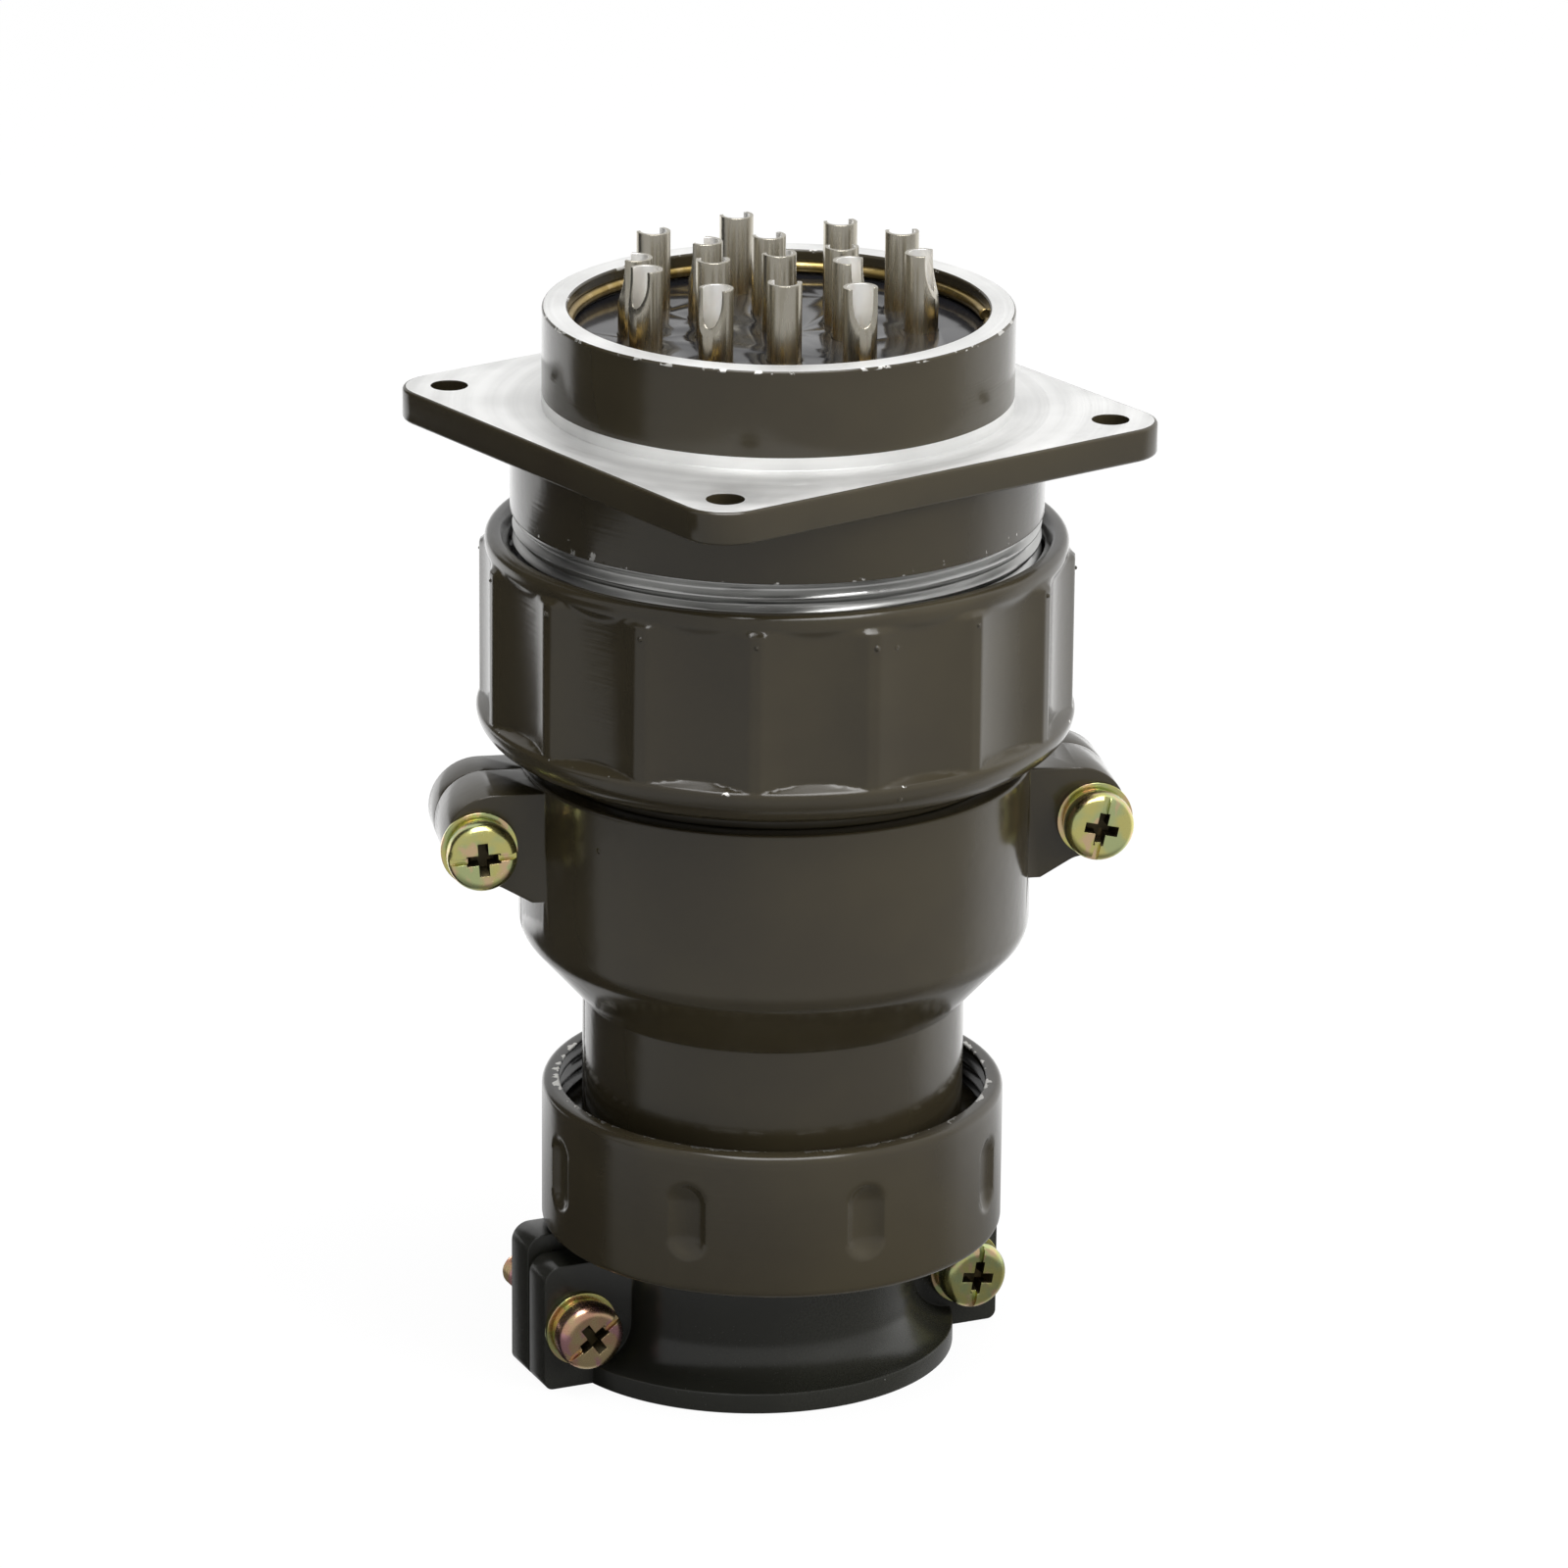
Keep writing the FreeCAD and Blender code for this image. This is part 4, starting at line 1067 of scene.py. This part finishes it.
@dataclass
class ReceptacleShell(NodePiece):
    """The receptacle's turned shell with its square flange."""

    node: str = "receptacle_shell"
    turn: float = math.radians(26.4)
    steps: int = 256
    flange_side: float = 24.0 * MM
    flange_corner: float = 4.0 * MM
    bolt_reach: float = 20.0 * MM
    bolt_radius: float = 1.6 * MM
    thread_radius: float = 22.5 * MM
    thread_depth: float = 0.55 * MM
    thread_start: float = 0.4 * MM
    thread_end: float = 12.0 * MM
    rear_length: float = 8.5 * MM
    rear_radius: float = 20.0 * MM
    flange_thickness: float = 2.8 * MM
    bare_foot: float = 1.1 * MM
    rim_break: float = 0.3 * MM
    rim_wear: float = 0.62
    key_reach: Span = (18.9 * MM, 20.3 * MM)
    key_span: Span = (1.5 * MM, 11.3 * MM)
    keys: tuple[Span, ...] = ((0.0, 3.0), (80.0, 1.6), (145.0, 1.6), (-145.0, 1.6), (-80.0, 1.6))

    def profile(self, low: float, high: float) -> list[Corner]:
        """The section, from the front barrel's bore outwards and up.

        Args:
            low: Height of the node's lower end in millimetres.
            high: Height of its upper end.

        Returns:
            The closed section's corners.
        """
        flange = high - 8.5
        return [
            Corner(20.0, low, 0.2),
            Corner(22.5, low, 0.3, rows=2),
            Corner(22.5, low + 0.5, rows=84),
            Corner(22.5, low + 12.0),
            Corner(22.7, low + 12.0, 0.05, 0.5),
            Corner(22.7, flange - 1.4),
            Corner(20.0, flange - 1.4),
            Corner(20.0, flange + 1.1),
            Corner(20.0, high - 0.32),
            Corner(20.0, high, 0.22, 0.62),
            Corner(17.8, high, 0.22, 0.5),
            Corner(17.8, high - 0.32),
            Corner(17.8, high - 1.0),
            Corner(18.25, high - 1.0),
            Corner(18.25, high - 2.1),
            Corner(17.8, high - 2.1),
            Corner(17.8, low + 12.7),
            Corner(16.8, low + 12.7),
            Corner(16.8, low + 11.2),
            Corner(20.0, low + 11.2),
        ]

    def carve(self, place: Vector) -> Optional[tuple[Vector, float]]:
        """Cuts the coupling thread.

        Args:
            place: A vertex's place.

        Returns:
            Its new place and how worn it is, or nothing.
        """
        radius, _ = polar(place)
        if abs(radius - self.thread_radius) > TOUCH:
            return None
        start, end = self.low.z + self.thread_start, self.low.z + self.thread_end
        cut = thread_wave(place, THREAD_PITCH, start, end, self.thread_depth)
        return at_radius(place, radius - cut), 0.0

    def flange(self, low: float, high: float) -> Form:
        """The flange with eased edges and four holes.

        Args:
            low: Its lower face's height.
            high: Its upper face's height.

        Returns:
            The flange, turned into place.
        """
        signs = ((-1.0, -1.0), (1.0, -1.0), (1.0, 1.0), (-1.0, 1.0))
        side = self.flange_side
        outline = [(x * side, y * side, self.flange_corner) for x, y in signs]
        form = Form.plate(outline, low, high)

        def rim(edge: bmesh.types.BMEdge) -> bool:
            """Whether an edge runs round the top or bottom face."""
            return abs(edge.verts[0].co.z - edge.verts[1].co.z) < TOUCH

        form.ease(self.rim_break, rim, 3, self.rim_wear)
        drill = Form()
        for x, y in signs:
            spot = (x * self.bolt_reach, y * self.bolt_reach, (low + high) / 2)
            bmesh.ops.create_cone(
                drill.bm,
                cap_ends=True,
                segments=40,
                radius1=self.bolt_radius,
                radius2=self.bolt_radius,
                depth=(high - low) * 2.0,
                matrix=Matrix.Translation(spot),
            )
        form.combine(drill)
        return form.move(Matrix.Rotation(self.turn, 4, "Z"))

    def key(self, angle: float, width: float) -> Form:
        """A key in the bore.

        Args:
            angle: Its angle from the master key in degrees.
            width: Its width in millimetres.

        Returns:
            The key, turned into place.
        """
        inner, outer = self.key_reach
        half = width / 2 * MM
        outline = [(inner, -half, 0.0), (outer, -half, 0.0), (outer, half, 0.0), (inner, half, 0.0)]
        start, end = self.key_span
        form = Form.plate(outline, self.low.z + start, self.low.z + end)
        return form.move(Matrix.Rotation(self.turn + math.radians(angle), 4, "Z"))

    def choose(self, middle: Vector, normal: Vector) -> int:
        """Bare metal on the flange's face, the barrel's foot and the thread.

        Args:
            middle: A face's middle.
            normal: Its normal.

        Returns:
            The number of its finish.
        """
        face = self.high.z - self.rear_length
        radius, _ = polar(middle)
        if normal.z > 0.9 and middle.z > face - 2.0 * TOUCH:
            return 1
        if abs(radius - self.rear_radius) < 10.0 * TOUCH and face < middle.z < face + self.bare_foot:
            return 1
        return 2 if middle.z < self.low.z + self.thread_end + 5.0 * TOUCH else 0

    def build(self) -> None:
        """Makes the shell."""
        form = self.turned(self.steps)
        form.shape(self.carve)
        face = self.high.z - self.rear_length
        form.combine(self.flange(face - self.flange_thickness, face), "UNION")
        for angle, width in self.keys:
            form.add(self.key(angle, width))
        finishes = [Finish.PAINT, Finish.BARE, Finish.THREAD]
        piece = form.finish("receptacle_body", finishes, self.choose)
        seat(piece, "receptacle", "olive_paint", self.node)


@dataclass
class Casting:
    """A piece that keeps its CAD form, with its edges eased."""

    node: str
    body: str
    finish: Finish = Finish.CAST
    slot: str = "olive_paint"
    width: float = 0.28 * MM
    worn: float = 0.3
    kind: str = "casting"

    def build(self) -> None:
        """Makes the piece."""
        form = Form.of_node(self.node)
        form.ease(self.width, form.sharp, 3, self.worn)
        piece = form.finish(f"{self.node}_{self.kind}", [self.finish])
        seat(piece, self.body, self.slot, self.node)


@dataclass
class PanScrew:
    """A pan-head screw with a slot across a cross recess, and a rolled thread."""

    node: str
    body: str
    finish: Finish
    spot: Point
    length: float
    turn: float
    twist: float
    head_height: float = 1.9 * MM
    shank: float = 1.45 * MM
    pitch: float = 0.5 * MM
    thread_depth: float = 0.28 * MM
    thread_end: float = -0.4 * MM
    row: float = 0.075
    cross: tuple[float, ...] = (3.9, 1.0, 1.35, 0.5)
    slot: tuple[float, ...] = (7.0, 0.5, 0.45, 1.0)
    recess_reach: float = 2.0 * MM

    def shank_profile(self) -> list[Corner]:
        """The shank's section, from the tip up the thread.

        Returns:
            The closed section's corners.
        """
        return [
            Corner(0.0, -self.length),
            Corner(1.05, -self.length),
            Corner(1.45, 0.4 - self.length, rows=int(self.length / self.row)),
            Corner(1.45, -0.4),
            Corner(1.45, 0.1),
            Corner(0.0, 0.1),
        ]

    def head_profile(self) -> list[Corner]:
        """The head's section, from its underside outwards and up.

        Returns:
            The closed section's corners.
        """
        return [
            Corner(0.0, 0.02),
            Corner(3.0, 0.02, 0.12),
            Corner(3.0, 1.9, 0.95, rows=3, arc=8),
            Corner(0.0, 1.9),
        ]

    def carve(self, place: Vector) -> Optional[tuple[Vector, float]]:
        """Rolls the thread.

        Args:
            place: A vertex's place.

        Returns:
            Its new place and how worn it is, or nothing.
        """
        radius, _ = polar(place)
        if abs(radius - self.shank) > TOUCH:
            return None
        cut = thread_wave(place, self.pitch, -math.inf, self.thread_end, self.thread_depth)
        return at_radius(place, radius - cut), 0.0

    def recess(self, turn: float, length: float, width: float, depth: float, taper: float) -> Form:
        """A tool that cuts one bar of the slot or of the tapered cross.

        Args:
            turn: The bar's angle.
            length: Its length in millimetres.
            width: Its width in millimetres.
            depth: Its depth in millimetres.
            taper: Its size at the bottom as a share of that at the top.

        Returns:
            The tool.
        """
        tool = Form()
        bmesh.ops.create_cube(tool.bm, size=1.0)
        tool.move(Matrix.Diagonal((length * MM, width * MM, depth * 2.0 * MM, 1.0)))
        for vert in tool.bm.verts:
            if vert.co.z < 0.0:
                vert.co.x *= taper
                vert.co.y *= 0.5 + taper / 2.0
        top = Matrix.Translation((0.0, 0.0, self.head_height))
        return tool.move(top @ Matrix.Rotation(turn, 4, "Z"))

    def build(self) -> None:
        """Makes the screw with its head's underside at its spot."""
        form = Form.turning(self.head_profile(), 48)
        for turn, bar in ((0.0, self.cross), (FULL_TURN / 4.0, self.cross), (0.0, self.slot)):
            form.combine(self.recess(turn, *bar))
        # Faces deep in the recess near the axis get the dark plating, which paints shade into the
        # recess.
        for face in form.bm.faces:
            middle = face.calc_center_median()
            deep = 5.0 * TOUCH < middle.z < self.head_height - 3.0 * TOUCH
            face.material_index = int(deep and polar(middle)[0] < self.recess_reach)
        form.ease(0.05 * MM, form.sharp, 2)
        form.add(Form.turning(self.shank_profile(), 32).shape(self.carve))
        upright = Matrix.Rotation(self.turn, 4, "Z")
        across, ahead, height = self.spot
        place = Matrix.Translation(upright @ Vector((across * MM, -ahead * MM, height * MM)))
        lying = Matrix.Rotation(FULL_TURN / 4.0, 4, "X")
        form.move(place @ upright @ lying @ Matrix.Rotation(self.twist, 4, "Z"))
        finishes = [self.finish, Finish.PAINTED_SHADE_RECESS]
        piece = form.finish(f"{self.node}_pan", finishes, smooth=ROUND_ANGLE)
        seat(piece, self.body, "yellow_zinc", self.node)


@dataclass
class ScrewPair:
    """The two screws of the housing or of the cable clamp, with their washers."""

    kind: str
    carrier: str
    spot: Point
    length: float
    twists: Span
    left_finish: Finish = Finish.YELLOW_ZINC
    turn: float = 0.0
    loose: bool = False
    washer_edge: float = 0.05 * MM

    def build(self) -> None:
        """Makes the screws, which ride bodies of their own where they are loose."""
        across, ahead, height = self.spot
        for side, way, twist in zip(("left", "right"), (-1.0, 1.0), self.twists):
            for shape in ("flat", "spring"):
                washer = f"{self.kind}_{shape}_washer_{side}"
                zinc = Finish.YELLOW_ZINC
                edge = self.washer_edge
                Casting(washer, self.carrier, zinc, zinc.value.name, edge, 0.0, "plated").build()
            node = f"{self.kind}_screw_{side}"
            body = node if self.loose else self.carrier
            finish = self.left_finish if side == "left" else Finish.YELLOW_ZINC
            spot = (way * across, ahead, height)
            PanScrew(node, body, finish, spot, self.length, self.turn, math.radians(twist)).build()


@dataclass
class SolderCup(NodePiece):
    """A plated contact: a pin below, and above it a solder cup with a tongue-shaped scoop."""

    node: str
    facing: float
    steps: int = 48
    bore_depth: float = 5.2
    pin: float = 9.4
    shoulder: float = 15.4
    shoulder_half: float = 1.2
    scoop_start: float = 0.6 * MM
    scoop_bend: float = 7.2 * MM
    scoop_elbow: float = 0.6 * MM
    scoop_sweep: float = math.radians(37.0)
    eased: float = 4.5 * MM

    def profile(self, low: float, high: float) -> list[Corner]:
        """The section, from the pin's tip outwards, up to the rim and down the bore.

        Args:
            low: Height of the node's lower end in millimetres.
            high: Height of its upper end.

        Returns:
            The closed section's corners.
        """
        face, split = low + self.pin, high - self.shoulder
        return [
            Corner(0.0, low),
            Corner(0.95, low, 0.45),
            Corner(0.95, face),
            Corner(1.45, face, 0.1),
            Corner(1.45, split - self.shoulder_half),
            Corner(1.9, split - self.shoulder_half),
            Corner(1.9, split + self.shoulder_half),
            Corner(1.45, split + self.shoulder_half),
            Corner(1.45, high),
            Corner(1.1, high),
            Corner(1.1, high - self.bore_depth),
            Corner(0.0, high - self.bore_depth),
        ]

    def scoop(self, rim: float) -> Form:
        """The tool that opens the cup: upright near the rim, then sweeping out to the wall.

        Args:
            rim: The rim's height.

        Returns:
            The tool, which opens towards +X.
        """
        start, bend = self.scoop_start, self.scoop_bend
        outline = [(2.2 * MM, rim + MM, 0.0), (start, rim + MM, 0.0)]
        for step in range(9):
            turn = self.scoop_sweep * step / 8
            height = rim - self.scoop_elbow - bend * math.sin(turn)
            outline.append((start + bend - bend * math.cos(turn), height, 0.0))
        upright = Matrix.Rotation(FULL_TURN / 4.0, 4, "X")
        return Form.plate(outline, -2.0 * MM, 2.0 * MM).move(upright)

    def build(self) -> None:
        """Makes the contact."""
        form = self.turned(self.steps)
        form.combine(self.scoop(self.high.z))
        edge = self.high.z - self.eased
        form.ease(0.06 * MM, lambda e: form.sharp(e) and min(v.co.z for v in e.verts) > edge, 2)
        centre = (self.low + self.high) / 2.0
        turn = Matrix.Rotation(self.facing, 4, "Z")
        form.move(Matrix.Translation((centre.x, centre.y, 0.0)) @ turn)

        def inside(middle: Vector, normal: Vector) -> int:
            """Whether a face lies in the cup's bore."""
            out = (middle - centre) * Vector((1.0, 1.0, 0.0))
            return int(middle.z > edge - MM and normal.z < 0.99 and out.dot(normal) < -0.3 * MM)

        name = self.node.replace("pin_contact", "solder_cup")
        piece = form.finish(name, [Finish.SILVER, Finish.BRIGHT_SILVER], inside, ROUND_ANGLE)
        seat(piece, "receptacle", "silver_plate", self.node)


@dataclass
class CarriedNodes:
    """The CAD nodes that stay as they are and only get a finish."""

    finishes: dict[str, Finish] = field(
        default_factory=lambda: {
            "insulator": Finish.MOULDING,
            "retaining_ring": Finish.BRASS,
            "socket_contact": Finish.SILVER,
            "plug_barrel": Finish.PAINT,
        }
    )

    def build(self) -> None:
        """Gives each its material."""
        for name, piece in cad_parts.items():
            for word, finish in self.finishes.items():
                if word in name:
                    piece.data.materials.clear()
                    piece.data.materials.append(material_of(finish))
                    LOG.info("%s is finished in %s", name, finish.name)


@dataclass(frozen=True)
class Lamp:
    """A soft rectangular lamp, placed in degrees right of the camera and above the floor."""

    name: str
    azimuth: float
    elevation: float
    distance: float
    size: Span
    power: float
    mirrored: bool


@dataclass
class Studio:
    """A white floor, soft lamps and the camera.

    The spans are in degrees right of the camera, or in metres from the object.
    """

    azimuth: float = math.radians(-10.0)
    distance: float = 700.0 * MM
    height: float = 293.3 * MM
    pitch: float = math.radians(18.97)
    roll: float = math.radians(0.5)
    shift: float = 0.0059
    focal: float = 198.0
    floor_radius: float = 6.0
    floor_colour: Colour = (0.5, 0.5, 0.5)
    shadow_share: float = 0.1
    daylight: Colour = (0.42, 0.42, 0.42)
    backdrop: float = 1.05
    brightest: float = 1.2
    front: float = 0.6
    dark: float = 0.05
    behind: float = 0.85
    glare: float = 1.5
    right_side: Span = (88.0, 115.0)
    right_rear: Span = (145.0, 165.0)
    left_side: Span = (-85.0, -92.0)
    left_rear: Span = (-137.0, -146.0)
    swing: float = 21.0
    swung: Span = (0.20, 0.27)
    # Painted shadow of the object on the reflected floor: the distances where it fades out, and its
    # level at the object.
    painted_shadow_reach: Span = (0.04, 0.10)
    shade: float = 0.35
    lamps: tuple[Lamp, ...] = (
        Lamp("right_softbox", 62.0, 28.0, 0.85, (0.55, 0.75), 8.0, False),
        Lamp("top_softbox", 10.0, 76.0, 0.8, (0.6, 0.6), 8.0, True),
    )

    def direction(self, azimuth: float, elevation: float) -> Vector:
        """A direction from the object, measured from the camera's side.

        Args:
            azimuth: Degrees to the right of the camera.
            elevation: Degrees above the floor.

        Returns:
            A unit vector that points away from the object.
        """
        turn = self.azimuth + math.radians(azimuth)
        lift = math.radians(elevation)
        across, back = math.sin(turn) * math.cos(lift), -math.cos(turn) * math.cos(lift)
        return Vector((across, back, math.sin(lift)))

    def camera(self) -> None:
        """Sets the camera at the photograph's viewing angle."""
        data = bpy.data.cameras.new("camera")
        data.lens = self.focal
        data.sensor_width = 36.0
        data.shift_x = self.shift
        data.clip_end = 100.0
        made = linked("camera", data)
        outward = self.direction(0.0, 0.0)
        spot = outward * self.distance + Vector((0.0, 0.0, self.height))
        forward = -outward * math.cos(self.pitch) - Vector((0.0, 0.0, math.sin(self.pitch)))
        aim = forward.to_track_quat("-Z", "Y").to_matrix().to_4x4()
        made.matrix_world = Matrix.Translation(spot) @ aim @ Matrix.Rotation(self.roll, 4, "Z")
        bpy.context.scene.camera = made

    def hang(self, lamp: Lamp) -> None:
        """Hangs a lamp that points at the object.

        Args:
            lamp: Where it hangs and how it shines.
        """
        data = bpy.data.lights.new(lamp.name, "AREA")
        data.shape = "RECTANGLE"
        data.size, data.size_y = lamp.size
        data.energy = lamp.power
        made = linked(lamp.name, data)
        outward = self.direction(lamp.azimuth, lamp.elevation)
        made.location = outward * lamp.distance + Vector((0.0, 0.0, 0.05))
        made.rotation_mode = "QUATERNION"
        made.rotation_quaternion = (-outward).to_track_quat("-Z", "Y")
        made.visible_glossy = lamp.mirrored

    def surround(
        self,
        graph: Graph,
        glow: str,
        soft: bpy.types.NodeSocket,
        share: float,
        reach: Optional[Signal] = None,
    ) -> bpy.types.NodeSocket:
        """A shader that the camera sees as white and that reflections see as a studio.

        Args:
            graph: The floor's or the world's tree.
            glow: The kind of node that shines there.
            soft: The shader for all other rays.
            share: How much of the white backdrop the camera sees.
            reach: Distance from the object, where the surroundings change with it; near the object the
                reflected floor darkens, a painted shadow of the object.

        Returns:
            The shader's socket.
        """
        way = graph.compass(self.azimuth)
        behind = self.behind if reach is None else self.glare
        level = way.step(*self.right_side) * (self.brightest - self.front) + self.front
        level = level + way.step(*self.right_rear) * (behind - self.brightest)
        if reach is not None:
            way = way - reach.step(*self.swung) * self.swing
        level = level - way.step(*self.left_side) * (self.front - self.dark)
        level = level + way.step(*self.left_rear) * (behind - self.dark)
        # Near the object the reflected floor is dimmed: a painted shadow of the object, seen only in
        # reflections.
        if reach is not None:
            level = level * (reach.step(*self.painted_shadow_reach) * (1.0 - self.shade) + self.shade)

        def shine(colour: Colour, strength: float) -> bpy.types.NodeSocket:
            """A shader that glows."""
            return graph.node(glow, None, {"Color": rgba(colour), "Strength": strength}).outputs[0]

        def mixed(
            part: Signal, first: bpy.types.NodeSocket, second: bpy.types.NodeSocket
        ) -> bpy.types.NodeSocket:
            """Two shaders in one, with a part of the second."""
            return graph.node("ShaderNodeMixShader", None, {0: part, 1: first, 2: second}).outputs[0]

        rays = graph.node("ShaderNodeLightPath").outputs
        mirrored = mixed(level / self.glare, shine(BLACK, 0.0), shine(WHITE, self.glare))
        rest = mixed(Signal(graph, rays["Is Glossy Ray"]), soft, mirrored)
        seen = Signal(graph, rays["Is Camera Ray"]) + Signal(graph, rays["Is Transmission Ray"])
        return mixed((seen > 0.5) * share, rest, shine(WHITE, self.backdrop))

    def floor(self) -> None:
        """Adds the white floor, which keeps the object's shadow."""
        form = Form()
        bmesh.ops.create_circle(form.bm, cap_ends=True, segments=96, radius=self.floor_radius)
        made = form.as_object("pale_floor")
        form.bm.free()
        graph = Graph.of_material("pale_floor")
        matt = graph.node("ShaderNodeBsdfDiffuse", None, {"Color": rgba(self.floor_colour)}).outputs[0]
        share = 1.0 - self.shadow_share
        surface = self.surround(graph, "ShaderNodeEmission", matt, share, graph.radius())
        graph.node("ShaderNodeOutputMaterial", None, {"Surface": surface})
        made.data.materials.append(graph.owner)

    def world(self) -> None:
        """A soft grey world whose background is white."""
        graph = Graph(bpy.data.worlds.new("studio"))
        soft = graph.node("ShaderNodeBackground", None, {"Color": rgba(self.daylight)})
        surface = self.surround(graph, "ShaderNodeBackground", soft.outputs[0], 1.0)
        graph.node("ShaderNodeOutputWorld", None, {"Surface": surface})
        bpy.context.scene.world = graph.owner

    def build(self) -> None:
        """Sets the stage."""
        bpy.context.scene.view_settings.view_transform = "Standard"
        self.camera()
        self.floor()
        self.world()
        for lamp in self.lamps:
            self.hang(lamp)


CUP_FACINGS = (110, 105, 99, 88, -26, 281, 73, 229, 210, 158, 146, 105, 86, 324, 88, 107)


def main() -> None:
    """Builds the stage and every piece."""
    logging.basicConfig(level=logging.INFO, format="%(message)s")
    Studio().build()
    for piece in (ReceptacleShell(), CouplingNut(), UnionNut()):
        piece.build()
    Casting("housing_half_front", "plug").build()
    Casting("housing_half_rear", "plug").build()
    # The clamp pieces take the darker copy of the olive paint, which paints shade onto them.
    Casting("clamp_body", "cable_clamp", Finish.PAINTED_SHADE_CLAMP).build()
    Casting("clamp_saddle", "clamp_saddle", Finish.PAINTED_SHADE_CLAMP).build()
    for node, finish in (
        ("receptacle_insulator_rear", Finish.MOULDING),
        ("receptacle_insulator_front", Finish.MOULDING),
        ("receptacle_retaining_ring", Finish.BRASS),
    ):
        Casting(node, "receptacle", finish, finish.value.name, 0.1 * MM, 0.0, "inset").build()
    ScrewPair("housing", "plug", (26.6, 8.1, 50.6), 12.0, (4.0, 78.0)).build()
    ScrewPair(
        "clamp",
        "clamp_saddle",
        (18.3, 1.9, 5.5),
        16.2,
        (35.0, 80.0),
        left_finish=Finish.PINK_ZINC,
        turn=math.radians(14.0),
        loose=True,
    ).build()
    for number, facing in enumerate(CUP_FACINGS, start=1):
        SolderCup(f"pin_contact_{number:02d}", math.radians(facing)).build()
    CarriedNodes().build()
    bpy.context.view_layer.update()


if __name__ == "__main__":
    main()
